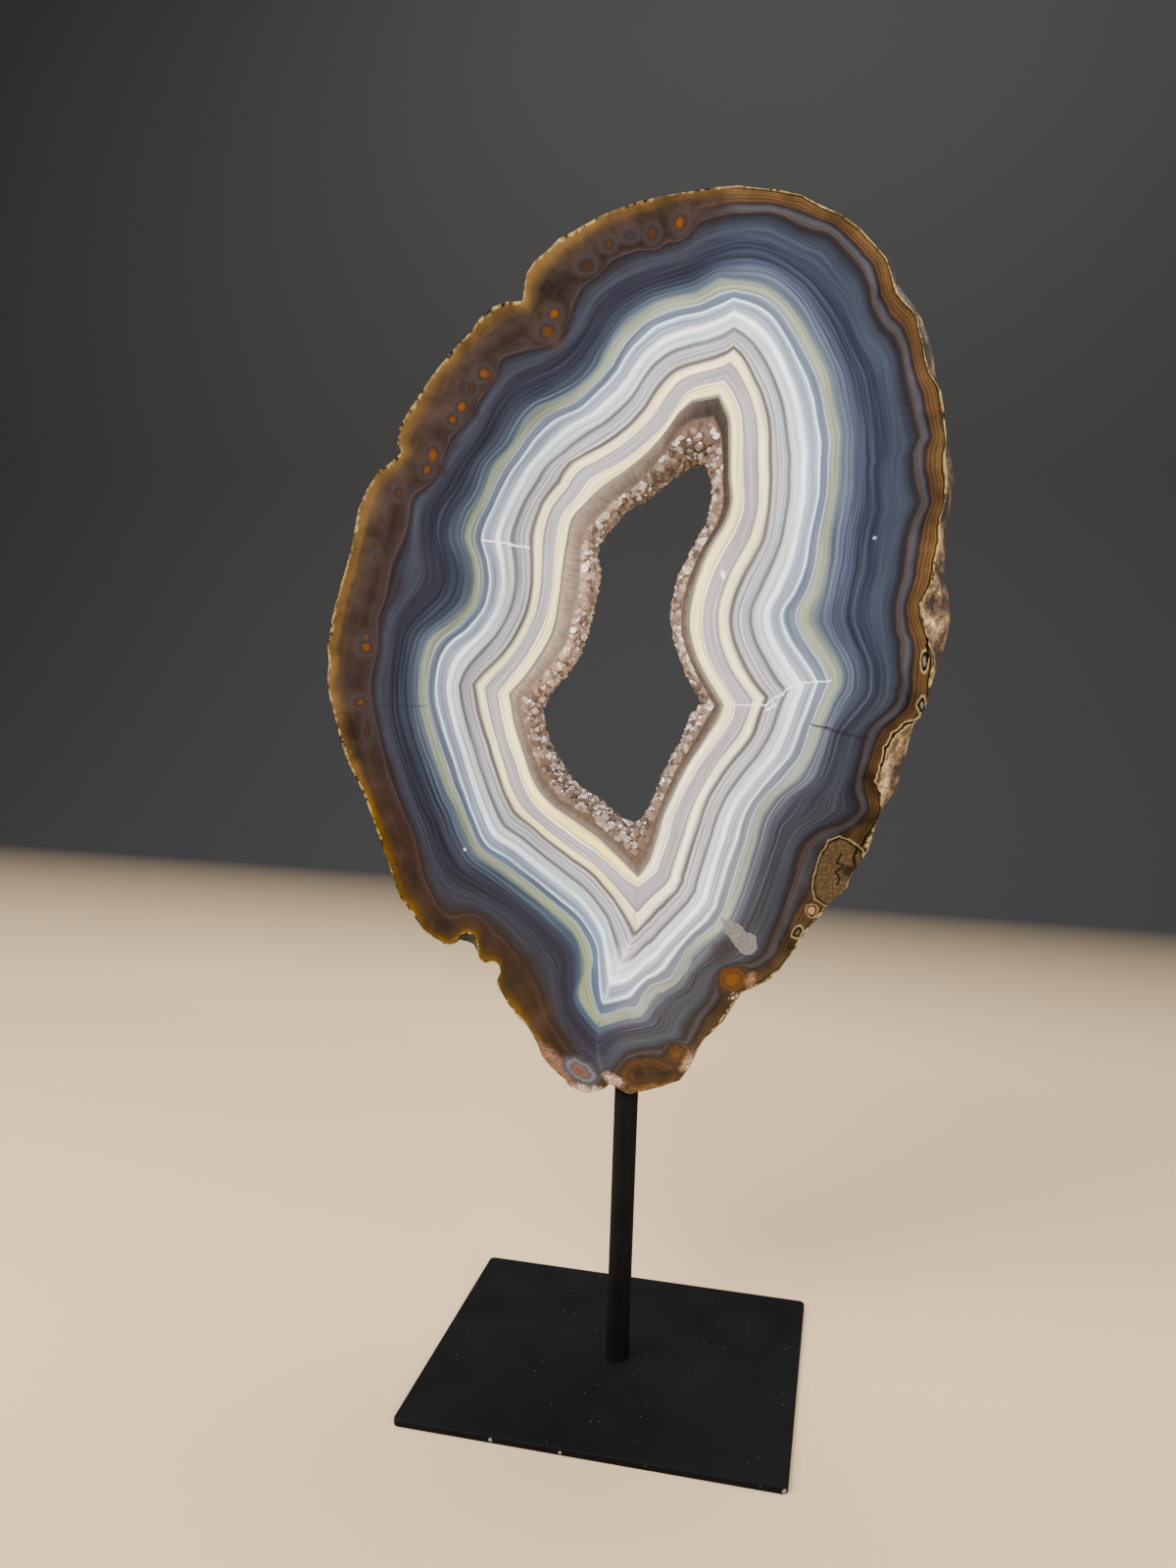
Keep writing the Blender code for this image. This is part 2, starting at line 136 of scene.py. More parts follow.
# The growth lines, clockwise from the top: where each crosses every contour, from the hollow out, as x
# and z in turn. SHARP_LINES says how many contours, from the hollow out, turn a sharp corner on a line.
GROWTH = (
    (22, 324.4, 23.7, 329.7, 26.3, 338.8, 25.5, 353.5, 25.3, 361.3, 25.2, 369.5, 25, 378.5, 25, 386.5),
    (23.6, 322, 26.5, 326, 31, 332.7, 34, 349.8, 36, 360, 37, 367.5, 38, 378, 38, 384.5),
    (25, 318, 29.3, 320.5, 35, 326, 41, 343.5, 44.5, 354, 48.3, 360.7, 53, 373, 56, 377.3),
    (25.6, 312, 30.4, 314.5, 38, 318.5, 46.5, 335.5, 51, 342, 57, 350, 64, 360.5, 70.3, 364),
    (26, 305, 30.7, 307, 39, 309.5, 51.5, 324, 56.5, 329, 65, 334.5, 71.7, 344, 79, 348.5),
    (26.6, 298, 31.2, 299, 39.5, 300, 54, 304, 60, 306, 71, 308, 82.5, 315, 90.5, 315),
    (27, 291.5, 31.7, 291, 39.3, 290, 53.6, 291, 59.2, 291.5, 71.8, 293, 83.7, 295, 91.5, 294),
    (25.3, 286.5, 30, 284.8, 38.2, 282, 52.4, 282, 58.6, 282, 71, 281, 82.3, 283, 91, 281.7),
    (20.3, 277.7, 25.5, 276, 34.5, 275.3, 51.5, 274.5, 58, 275, 70, 272, 81, 272, 89.5, 270),
    (17, 268.5, 21.8, 267, 31, 267.3, 49, 266.5, 57.6, 266.5, 69.3, 264, 79.7, 262, 86.3, 263),
    (15.3, 260, 20.5, 259, 29.2, 259.5, 45, 258.5, 56.6, 259, 69.5, 257.5, 79.9, 255, 88, 256.5),
    (15.4, 252.5, 20.9, 251.5, 29.8, 252, 46.5, 252, 58.5, 252.5, 71.5, 251.5, 81.2, 249, 91, 249),
    (18, 244.3, 23.6, 243.5, 32.8, 244, 50.5, 245.8, 62, 246.3, 74, 246, 82.5, 242.5, 91.3, 242.5),
    (22, 237, 27.7, 237, 36.5, 238, 54.5, 240.8, 63.8, 241.5, 75, 241, 83.7, 237.7, 90.8, 236),
    (26.8, 229.8, 32, 230.7, 41.3, 232.7, 56.5, 238, 63.8, 238, 74.8, 236.5, 82.6, 233.9, 89.7, 231.7),
    (25.7, 225.7, 31.4, 226, 39.7, 228, 54.5, 231.5, 61.8, 232, 71, 229.5, 79, 229.7, 87.3, 228),
    (23.3, 221, 29, 221.5, 37.5, 220, 51.8, 223.5, 59.3, 223, 65.7, 221.7, 74, 224.5, 81, 222.2),
    (19.2, 214.5, 24.5, 214.7, 34, 214, 48.5, 215.3, 56.3, 216.5, 64, 215, 72, 216.5, 78.5, 215),
    (15.6, 208.2, 20.8, 208.8, 29.7, 208.3, 44.5, 209, 51.7, 209, 61, 208.3, 70.3, 208, 76.3, 208),
    (12, 199.7, 16.3, 200, 25, 200.5, 38.2, 200, 44.4, 200.8, 53, 200.3, 70.1, 200, 78.3, 200.3),
    (10, 194.5, 13.7, 193, 22, 193.5, 34.6, 194.5, 40.3, 194.5, 48.5, 194.5, 63, 194, 76.5, 193),
    (8, 187.5, 12, 185, 20, 185.7, 32.5, 185.5, 38.8, 185.3, 46.4, 185, 54.8, 186, 74, 185),
    (6, 180.3, 9.9, 179, 18.4, 178.3, 30.3, 177.8, 37.3, 178, 44.7, 177.8, 53.1, 178, 70.3, 178),
    (4.2, 175.2, 8.8, 174.8, 17, 172.5, 27.3, 165, 33.2, 163.5, 40, 163, 49.5, 162.5, 59.5, 162),
    (3.9, 174.9, 7.6, 173.6, 14.2, 168.3, 23.5, 160, 29.5, 156.8, 36, 155, 46.3, 151.3, 53, 151.5),
    (3.6, 174.6, 6.5, 172.6, 11.3, 163.3, 18.5, 153.5, 24.5, 149, 29.5, 146.5, 38.5, 145.2, 46.3, 142),
    (3.3, 174.2, 5.4, 171.6, 8.5, 160.5, 13.5, 147.5, 18.7, 141.7, 23, 142, 30.8, 140.5, 38.5, 137.7),
    (3, 173.9, 4.4, 170.7, 6, 158, 8.3, 140.7, 13.3, 136.3, 18.5, 135, 26.5, 132, 34.5, 131.5),
    (2.7, 173.6, 3.6, 170, 4.2, 156.8, 3.5, 136.3, 8, 130, 12.5, 127.5, 21.3, 120.5, 28, 121.5),
    (2.5, 173.4, 2.9, 169.4, 2.7, 155.6, -0.5, 133.2, 2.5, 125.3, 6, 122, 15.5, 117.3, 22, 111),
    (2.4, 173.3, 2.6, 169.2, 2.1, 155, -4.3, 131.7, -3.5, 123.7, -2, 119.5, 5, 113, 13, 103.2),
    (2.35, 173.25, 2.45, 169.1, 1.9, 154.7, -6.2, 131.1, -6.3, 122.9, -6, 117.5, -1.5, 107.8, 2, 99.8),
    (2.3, 173.2, 2.3, 169, 1.7, 154.5, -7.7, 130.7, -8.7, 122.3, -9.3, 114.5, -7.5, 105, -6, 102),
    (1.3, 174, 1, 169.7, 0.2, 156.2, -9.2, 133.6, -11.5, 124.7, -13.3, 117.5, -12, 105.5, -14.5, 98.3),
    (-1, 176.5, -2, 171.2, -3, 160.2, -10.2, 140, -15.8, 130.5, -19.5, 124.5, -19.5, 113, -21, 102.5),
    (-4.5, 179.8, -6, 174.5, -7.3, 164.7, -11.5, 147.5, -16.7, 139, -22.6, 133.5, -26, 122.5, -30.5, 113.5),
    (-9, 184, -11.5, 178.7, -13.3, 170.8, -16.5, 155.7, -18.5, 146.8, -23, 141.5, -30.2, 133.7, -38, 123),
    (-14.5, 187.7, -18, 182.7, -21, 176, -25, 161.7, -28, 155.8, -30.7, 150, -36, 141.5, -44.7, 132.7),
    (-20.5, 191.5, -25.3, 187.3, -29.5, 182, -35.5, 168.8, -38.5, 163.7, -41.5, 158, -45, 150.5, -49.8, 139.3),
    (-26, 194.7, -30.7, 191.3, -36, 187.5, -45, 175, -48.5, 170.5, -51.5, 162.8, -53.5, 155.7, -55.7, 149.3),
    (-31, 199, -34.5, 195.4, -40.3, 192.5, -50.5, 179.3, -54.5, 174.5, -60.5, 168.3, -62.5, 155, -62.3, 144.2),
    (-34, 204.5, -37.5, 200, -44, 198.5, -55, 188, -59, 182, -66.8, 176, -69.5, 164.5, -72.5, 150.5),
    (-36.8, 211.5, -40, 207, -47, 204.5, -58, 198, -62.7, 192.5, -71, 186.5, -75, 180.5, -84, 172),
    (-39.3, 218.3, -43.3, 215.3, -50.3, 212, -61.5, 209, -67.5, 204.5, -77.5, 200.5, -83, 199, -94, 195.7),
    (-41, 224.3, -45.4, 223, -53, 221.5, -65, 220.5, -72.3, 218.3, -83.2, 216, -88.5, 216.5, -102.5, 214.5),
    (-42, 230.5, -47, 230.7, -54.8, 233.3, -67, 232, -74.5, 231, -84.8, 230.5, -91.3, 231, -107, 232.5),
    (-38.2, 235, -43, 236, -50.8, 237.5, -65.6, 240.5, -73.3, 241.7, -84, 242, -89.4, 243, -107, 244),
    (-33.3, 241.7, -38.7, 241.7, -45.5, 243, -61.5, 245.8, -70, 248.8, -82.2, 252, -88.2, 254, -105, 256),
    (-29.5, 248, -34.4, 248.8, -40.7, 250, -55.5, 250.7, -64, 254, -77.5, 259.5, -86, 262, -102.5, 264.5),
    (-27.1, 255, -31.3, 256, -37.3, 258, -51.2, 258, -59, 259.8, -73.2, 264.5, -84.9, 268, -100.5, 270.5),
    (-26.1, 263.5, -29.6, 265, -36, 266, -50, 266, -57.3, 267, -72, 269, -83.5, 273.5, -99, 275.5),
    (-25.3, 272.5, -29.1, 273, -36.1, 274, -52, 274.5, -58.6, 274, -73.3, 275, -80.5, 279.5, -98, 281.5),
    (-24, 281.5, -28.4, 281.5, -36, 281.3, -53.4, 280.5, -60.8, 281, -74.2, 283, -78.8, 285.5, -96.5, 288.5),
    (-22.5, 287.3, -27, 288, -34.7, 288.3, -52.3, 287, -59.5, 288, -73, 291, -77.5, 292.5, -94, 295),
    (-18, 292.3, -22.5, 293.8, -32, 296.3, -49.3, 294.5, -55, 295.8, -68.7, 296.5, -70, 300, -87, 303.8),
    (-12.5, 297, -18.7, 299.3, -26.5, 303.5, -45, 302.5, -52, 304, -62.5, 305.5, -66.5, 309, -82.5, 310),
    (-6, 302, -10.5, 303.8, -19.5, 307.5, -38.5, 309.5, -45, 311.2, -55.5, 314.5, -59, 319, -79, 321.5),
    (-1, 306, -4.5, 307.7, -12.5, 311.2, -30.5, 317.3, -39.5, 319.3, -49.8, 324, -53, 327.5, -71, 332.5),
    (3.5, 310.5, 0.3, 311.6, -6.5, 315.7, -21.5, 322.4, -32, 325, -43, 331, -48.5, 336.5, -61, 343.3),
    (7, 315.3, 5, 316, -1.5, 321, -15.5, 330.2, -22, 331.2, -31, 336.4, -36.7, 340.7, -52, 352.8),
    (10.3, 320, 8.7, 321.5, 3, 327.8, -8, 338.3, -15.5, 339.3, -23, 343, -27.5, 348, -40.3, 363),
    (13.7, 322.7, 12.3, 326.4, 8.5, 333.3, -1, 343.8, -7, 349, -15, 354, -22, 358.7, -30, 373.3),
    (17, 323.7, 17, 328.4, 14.7, 335.7, 7, 348.4, 2.5, 353.6, -4, 359.5, -9, 367.7, -14, 380.5),
    (19.8, 324.1, 20.5, 329.1, 20.7, 337.3, 16.5, 350.7, 14.5, 357.2, 11, 364.6, 4.5, 370.7, 1, 384.2),
    (21, 324.3, 22.2, 329.5, 23.7, 338.2, 21.5, 352.2, 20.3, 360, 18.5, 367.2, 14.5, 377, 13, 386.4),
)
SHARP_LINES = {0: 4, 14: 4, 23: 4, 32: 6, 45: 3}


# Bands that swing in and out: the dark line, the white line, the navy's bright line and the rind's edge.
# The tables give the distance round the stone and how many bands further out they lie there.
SWUNG_BANDS = (12.5, 27.4, 35.8, 57.3)
BAND_SWINGS = (
    (10, 1, 0.8, -2), (15, 1.5, 1, -2.2), (30, 0.6, 1, -2.2), (45, 0.4, 0.1, -2.2), (60, 0.1, -0.5, -1),
    (75, 0.2, -0.3, 0.1), (90, 0.1, -0.3, -0.2), (104, 0.2, 0.5, 0.9), (115, 0.3, 0.2, 0.3),
    (130, 0.3, 0.5, 0.9), (145, 0.2, -0.2, -0.1), (160, 0.9, 0.1, 0.4), (178, 0.2, 0.3, -1.2),
    (190, 0.7, 0.8, -0.1), (202, 0.4, 0.5, 0.6), (212, 0.2, 0.6, -0.8), (222, -0.7, 1.4, 1),
    (230, -0.2, 0.3, 3.1), (236, 0, 0.3, 1.9), (245, 0.9, 1.7, 3), (255, 0.4, 1.2, 1.5), (275, 0.1, 1.2, 0.8),
    (290, 1.4, 1.7, 2), (300, 0.2, 1, -1.2), (307, -0.1, 1.1, -1.7), (317, 0.3, 1.4, 4.2),
    (325, 0.7, 0.3, -0.4), (332, 1.2, 0.7, -0.1), (340, 1.6, 1.2, 3.5), (348, 1.6, 1.4, -0.1),
    (360, 1.5, 1.4, 2.4), (380, 0.8, 1.3, 2.8), (390, 0.2, -0.3, 2.3), (400, -0.4, -1, 1.7),
    (405, -0.9, -1.3, -0.8), (420, -1.2, -0.6, -2.5), (435, -1, -1.6, -2.7), (457, -0.7, -2, -2.6),
    (467, 1.1, -0.6, -2), (480, 0.6, -0.7, -1.9), (500, 0, 0.1, -1.2), (512, -0.3, 0.5, -0.1),
    (533, -1.1, 0.9, -0.4), (560, 0.2, 1.6, 0.2), (577, 0.9, 1.5, -0.2), (590, 0.7, 1.9, 0.1),
    (605, 0.7, 1.9, -0.9), (620, 0.5, -0.1, -1.7), (628, 1.1, 0.3, -0.9), (640, 0.4, -1, -1.5),
    (650, -1.2, -1, -1.5), (660, 0.4, -0.8, -1.4), (672, 0.5, 0.8, -1), (690, 0.4, 0.3, -0.6),
    (700, 0.4, -0.4, -2.2), (710, 0.4, -2, -2.3), (720, 0.4, -2, -2.3), (735, 0.4, 0.1, -0.9),
    (750, 0, 0.8, -0.4), (760, -0.3, 0, 0.6), (775, -0.4, -0.3, -0.8), (790, -0.2, 0.1, -0.2),
    (801, 1, 0.8, -2),
)
RIND_SWINGS = (
    (10, 0), (20, 0), (30, -1.5), (35, -1.9), (42, -0.9), (52, -0.8), (60, 0), (66, -0.8), (70, -2),
    (76, -1.2),
    (82, 1.1), (88, 1.6), (95, 0.4), (104, -0.4), (112, -0.3), (118, 0.4), (122, -1.9), (128, -1.9),
    (134, -0.4), (138, 1.1), (144, -0.3), (150, -0.9), (160, -0.3), (170, -0.9), (180, 0.6), (188, -0.9),
    (195, -1.9), (199, -2.4), (203, -0.3), (212, -0.4), (220, -0.6), (232, -0.3), (238, 2.6), (243, 2.6),
    (246, 0.1), (265, 0.1), (280, -0.5), (288, -1.4), (294, -0.4), (300, -0.4), (304, -2.4), (310, -1.4),
    (315, 0.6), (320, 0.2), (325, -1.9), (330, -2.1), (335, 0.6), (338, 1.1), (343, -0.4), (348, 1.1),
    (355, -0.4), (362, -1.9), (368, -0.4), (373, 2.2), (385, -0.4), (403, 0.1), (415, 1), (425, 0.6),
    (440, 0.6), (460, -0.4), (475, 0.6), (500, 0), (801, 0),
)


class Side(Enum):
    """The two ways that the stone's outer bands and rind look."""

    LEFT = "left"
    RIGHT = "right"


class Zone(Enum):
    """The stone's surfaces, by material slot: each part of the cut faces has marks of its own."""

    BANDS = 0
    SKIN = 1
    EYES = 2
    FOOT = 3
    RIGHT_EDGE = 4


def linear(code: str) -> tuple[float, float, float, float]:
    """Turn an sRGB hex colour into the linear colour that a shader takes.

    Args:
        code: Six hex digits, with or without a leading #.

    Returns:
        Linear red, green and blue, and an alpha of 1.
    """
    digits = code.lstrip("#")
    channels = (int(digits[i:i + 2], 16) / 255 for i in (0, 2, 4))
    red, green, blue = (c / 12.92 if c <= 0.04045 else ((c + 0.055) / 1.055) ** 2.4 for c in channels)
    return red, green, blue, 1.0


def add_node(
    tree: Tree,
    kind: str,
    settings: dict | None = None,
    inputs: dict | Sequence | None = None,
    stops: Sequence[tuple[float, str]] = (),
) -> bpy.types.NodeOutputs:
    """Add a shader node with its settings, input values and links.

    Args:
        tree: The material's node tree.
        kind: The node's type without its ShaderNode prefix, such as "Math".
        settings: The node's own properties by name.
        inputs: Values, or sockets to link, by input name or number, or in the inputs' own order.
        stops: For a colour ramp, its (place, sRGB hex) stops.

    Returns:
        The new node's outputs.
    """
    node = tree.nodes.new("ShaderNode" + kind)
    for name, value in (settings or {}).items():
        setattr(node, name, value)
    for key, value in inputs.items() if isinstance(inputs, dict) else enumerate(inputs or ()):
        if isinstance(value, Socket):
            tree.links.new(value, node.inputs[key])
        else:
            node.inputs[key].default_value = value
    for number, (place, code) in enumerate(stops):
        ramp = node.color_ramp.elements
        element = ramp[number] if number < 2 else ramp.new(place)
        element.position = place
        element.color = linear(code)
    return node.outputs


def object_place(tree: Tree) -> Socket:
    """Give a material the object's own coordinates, in millimetres."""
    place = add_node(tree, "TexCoord")["Object"]
    return add_node(tree, "VectorMath", {"operation": "SCALE"}, {0: place, "Scale": 1 / MM})[0]


def new_material(name: str) -> tuple[bpy.types.Material, Tree, bpy.types.Node]:
    """Start a node material.

    Args:
        name: The finish's name.

    Returns:
        The material, its node tree and its main shader node.
    """
    material = bpy.data.materials.new(name)
    material.use_nodes = True
    return material, material.node_tree, material.node_tree.nodes["Principled BSDF"]


def deselect_all() -> None:
    """Leave edit mode and deselect every object, because an operator acts on all that is selected."""
    if bpy.context.object is not None and bpy.context.object.mode != "OBJECT":
        bpy.ops.object.mode_set(mode="OBJECT")
    bpy.ops.object.select_all(action="DESELECT")


def pick(piece: Piece, kind: str, test: Callable[[Vector, Vector], bool]) -> None:
    """Select a piece's faces or edges by their place, and open it in edit mode.

    Args:
        piece: The mesh object to edit.
        kind: "polygons" or "edges".
        test: Says whether to select, given the centre of an edge or face and a face's normal.
    """
    if piece.mode != "OBJECT":
        bpy.ops.object.mode_set(mode="OBJECT")
    mesh = piece.data
    for group in (mesh.vertices, mesh.edges, mesh.polygons):
        group.foreach_set("select", [False] * len(group))
    for item in getattr(mesh, kind):
        corners = [mesh.vertices[i].co for i in item.vertices]
        centre = sum(corners, Vector()) / len(corners)
        normal = item.normal if kind == "polygons" else corners[1] - corners[0]
        item.select = bool(test(centre, normal))
    bpy.ops.object.mode_set(mode="EDIT")
    bpy.ops.mesh.select_mode(type="FACE" if kind == "polygons" else "EDGE")


def grid_sheet(name: str, points: np.ndarray, around: np.ndarray, across: np.ndarray) -> Piece:
    """Roll a grid primitive into a closed ring of the given shape.

    The grid's first and last columns meet, and so do its first and last rows, but their seams are left
    open here. Its UV map carries the two coordinates of the stone's growth.

    Args:
        name: The piece's name.
        points: Places in metres, as columns by rows by three. The last column repeats the first.
        around: Each column's distance round the stone, in metres.
        across: Each point's place across the bands, in metres, as columns by rows.

    Returns:
        The new mesh object.
    """
    columns, rows = points.shape[0] - 1, points.shape[1] - 1
    deselect_all()
    bpy.ops.mesh.primitive_grid_add(x_subdivisions=columns, y_subdivisions=rows, size=1.0)
    piece = bpy.context.object
    piece.name = piece.data.name = name
    mesh = piece.data
    flat = np.zeros(len(mesh.vertices) * 3, np.float32)
    mesh.vertices.foreach_get("co", flat)
    flat = flat.reshape(-1, 3) + 0.5
    column = np.rint(flat[:, 0] * columns).astype(int)
    row = np.rint(flat[:, 1] * rows).astype(int)
    mesh.vertices.foreach_set("co", points[column, row].astype(np.float32).ravel())
    corner = np.zeros(len(mesh.loops), np.int32)
    mesh.loops.foreach_get("vertex_index", corner)
    uv = np.stack((around[column[corner]], across[column[corner], row[corner]]), axis=1)
    mesh.uv_layers[0].name = GROWTH_UV
    mesh.uv_layers[0].data.foreach_set("uv", uv.astype(np.float32).ravel())
    return piece


def weld(piece: Piece) -> None:
    """Close a rolled piece's seams and turn its faces outwards.

    Args:
        piece: The mesh object.
    """
    deselect_all()
    piece.select_set(True)
    bpy.context.view_layer.objects.active = piece
    bpy.ops.object.mode_set(mode="EDIT")
    bpy.ops.mesh.select_all(action="SELECT")
    bpy.ops.mesh.remove_doubles(threshold=WELD_DISTANCE)
    bpy.ops.mesh.normals_make_consistent(inside=False)
    bpy.ops.object.mode_set(mode="OBJECT")


def hand_over(piece: Piece, slot: str, *nodes: str) -> None:
    """Let a finished piece stand for its CAD nodes on the one body, and report it.

    Args:
        piece: The finished mesh object.
        slot: The name of its material slot; not used.
        *nodes: The CAD nodes that it stands for.
    """
    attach(piece, BODY)
    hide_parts(*nodes)
    LOG.info("%s: %d faces", piece.name, len(piece.data.polygons))


@dataclass
class GrowthMap:
    """The agate's growth: spokes from the hollow to the skin, and the contours that they cross.

    Lengths are millimetres. spoke_step is the distance between spokes along the outline.
    """

    spoke_step: float = 0.9
    hollow_steps: int = 12
    contours: np.ndarray = field(init=False)
    around: np.ndarray = field(init=False)
    flare: np.ndarray = field(init=False)
    hollow: np.ndarray = field(init=False)

    def __post_init__(self) -> None:
        """Work out the spokes from the tables."""
        self.hollow = self._hollow_curve()
        outline = np.array(OUTLINE, float)
        closed = np.vstack((outline, outline[:1]))
        lengths = np.hypot(*np.diff(closed[:, :2], axis=0).T)
        place = np.concatenate(((0.0,), np.cumsum(lengths)))
        lines = np.array(GROWTH, float).reshape(len(GROWTH), -1, 2)
        sharp = [SHARP_LINES.get(k, 0) for k in range(len(lines))]
        stations = [self._station(point, closed, place) for point in lines[:, -1]]
        stations.append(stations[0] + place[-1])
        contours, around = [], []
        for k in range(len(lines)):
            run = stations[k + 1] - stations[k]
            count = max(1, round(run / self.spoke_step))
            shares = np.arange(count) / count
            inner = self._across_line(lines, sharp, k, shares)
            station = stations[k] + run * shares
            skin = self._along_outline(station, closed, place)
            contours.append(np.concatenate((inner, skin[:, None, :2]), axis=1))
            around.append(np.column_stack((station, skin[:, 2])))
        spokes = np.concatenate(contours)
        stations_flare = np.concatenate(around)
        spokes[:, 0] = self._snap(spokes[:, 0], self.hollow[:, :2])
        self.contours = np.concatenate((spokes, spokes[:1]))
        self.around = np.append(stations_flare[:, 0], stations_flare[0, 0] + place[-1])
        self.flare = np.append(stations_flare[:, 1], stations_flare[0, 1])

    def swing(self, across: Sequence[float]) -> np.ndarray:
        """Let the bands swing in and out as they run round the stone.

        Args:
            across: Places across the bands, on the contours' scale.

        Returns:
            The band at each place on each spoke, as spokes by places.
        """
        table = np.array(BAND_SWINGS, float)
        shifts = [np.interp(self.around, table[:, 0], table[:, k]) for k in (1, 2, 3)]
        shifts.append(np.interp(self.around, *np.array(RIND_SWINGS, float).T))
        still, skin = CONTOUR_BANDS[1], CONTOUR_BANDS[-1]
        bands = (0.0, still, *SWUNG_BANDS, skin)
        rows = []
        for spoke in zip(*shifts):
            swung = [band + swing for band, swing in zip(SWUNG_BANDS, spoke)]
            rows.append(np.interp(across, (0.0, still, *swung, skin), bands))
        return np.array(rows)

    def _hollow_curve(self) -> np.ndarray:
        """Follow the hollow's table smoothly.

        Returns:
            Rows of edge x, edge z, tip x and tip z, closed, with the first row repeated at the end.
        """
        table = np.array(HOLLOW, float)
        count = len(table)
        rows = []
        for i in range(count):
            before, start, end, after = (table[(i + k) % count] for k in (-1, 0, 1, 2))
            straight = i in HOLLOW_CORNERS or (i + 1) % count in HOLLOW_CORNERS
            for step in range(self.hollow_steps):
                s = step / self.hollow_steps
                if straight:
                    rows.append(start + (end - start) * s)
                    continue
                bend = (2 * before - 5 * start + 4 * end - after) * s ** 2
                twist = (3 * start - before - 3 * end + after) * s ** 3
                rows.append(0.5 * (2 * start + (end - before) * s + bend + twist))
        rows.append(rows[0])
        return np.array(rows)

    @staticmethod
    def _station(point: np.ndarray, closed: np.ndarray, place: np.ndarray) -> float:
        """Find how far round the outline its nearest place to a point is.

        Args:
            point: An x and z.
            closed: The closed outline's rows.
            place: Each row's distance round the outline.

        Returns:
            The distance round the outline.
        """
        start, step = closed[:-1, :2], np.diff(closed[:, :2], axis=0)
        share = np.clip(((point - start) * step).sum(1) / (step ** 2).sum(1), 0, 1)
        gap = np.hypot(*(start + step * share[:, None] - point).T)
        nearest = int(gap.argmin())
        return float(place[nearest] + share[nearest] * (place[nearest + 1] - place[nearest]))

    @staticmethod
    def _along_outline(station: np.ndarray, closed: np.ndarray, place: np.ndarray) -> np.ndarray:
        """Read the outline's x, z and flare at distances round it.

        Args:
            station: Distances round the outline.
            closed: The closed outline's rows.
            place: Each row's distance round the outline.

        Returns:
            Rows of x, z and flare.
        """
        wrapped = np.mod(station, place[-1])
        return np.column_stack([np.interp(wrapped, place, closed[:, i]) for i in range(3)])

    @staticmethod
    def _across_line(lines: np.ndarray, sharp: list[int], k: int, shares: np.ndarray) -> np.ndarray:
        """Carry every inner contour smoothly from one growth line to the next.

        Args:
            lines: All the growth lines' contour points.
            sharp: How many contours turn a corner on each line.
            k: The line to start from.
            shares: Shares of the way to the next line.

        Returns:
            Points as shares by contours by two.
        """
        count = len(lines)
        before, start, end, after = (lines[(k + j) % count, :-1] for j in (-1, 0, 1, 2))
        runs = ((before, start), (start, end), (end, after))
        spans = [np.hypot(*(b - a).T)[:, None] + 1e-6 for a, b in runs]
        slopes = [(b - a) / span for (a, b), span in zip(runs, spans)]
        leaving = (slopes[0] * spans[1] + slopes[1] * spans[0]) / (spans[0] + spans[1])
        arriving = (slopes[1] * spans[2] + slopes[2] * spans[1]) / (spans[1] + spans[2])
        leaving[:sharp[k]] = slopes[1][:sharp[k]]
        arriving[:sharp[(k + 1) % count]] = slopes[1][:sharp[(k + 1) % count]]
        s = shares[:, None, None]
        return (
            (2 * s ** 3 - 3 * s ** 2 + 1) * start
            + (s ** 3 - 2 * s ** 2 + s) * spans[1] * leaving
            + (3 * s ** 2 - 2 * s ** 3) * end
            + (s ** 3 - s ** 2) * spans[1] * arriving
        )

    @staticmethod
    def _snap(points: np.ndarray, curve: np.ndarray) -> np.ndarray:
        """Move points to their nearest places on a curve of many short steps.

        Args:
            points: The points.
            curve: The curve's own points, in order.

        Returns:
            The moved points.
        """
        start, step = curve[:-1], np.diff(curve, axis=0)
        snapped = []
        for point in points:
            share = np.clip(((point - start) * step).sum(1) / (step ** 2).sum(1), 0, 1)
            places = start + step * share[:, None]
            snapped.append(places[np.hypot(*(places - point).T).argmin()])
        return np.array(snapped)


def facing(x: np.ndarray, z: np.ndarray) -> np.ndarray:
    """Give the unit directions out from the slice's middle, which its rough skin stands out along.

    Args:
        x: The points' x.
        z: The points' z.

    Returns:
        Rows of direction x and z.
    """
    middle_x, middle_z = SLICE_MIDDLE
    reach = np.hypot(x - middle_x, z - middle_z)
    return np.column_stack(((x - middle_x) / reach, (z - middle_z) / reach))


def ease(value: np.ndarray, low: float, high: float) -> np.ndarray:
    """Rise smoothly from 0 at low to 1 at high.

    Args:
        value: The values to ease.
        low: Where the rise starts.
        high: Where it ends.

    Returns:
        A share from 0 to 1 for each value.
    """
    share = np.clip((value - low) / (high - low), 0, 1)
    return share * share * (3 - 2 * share)


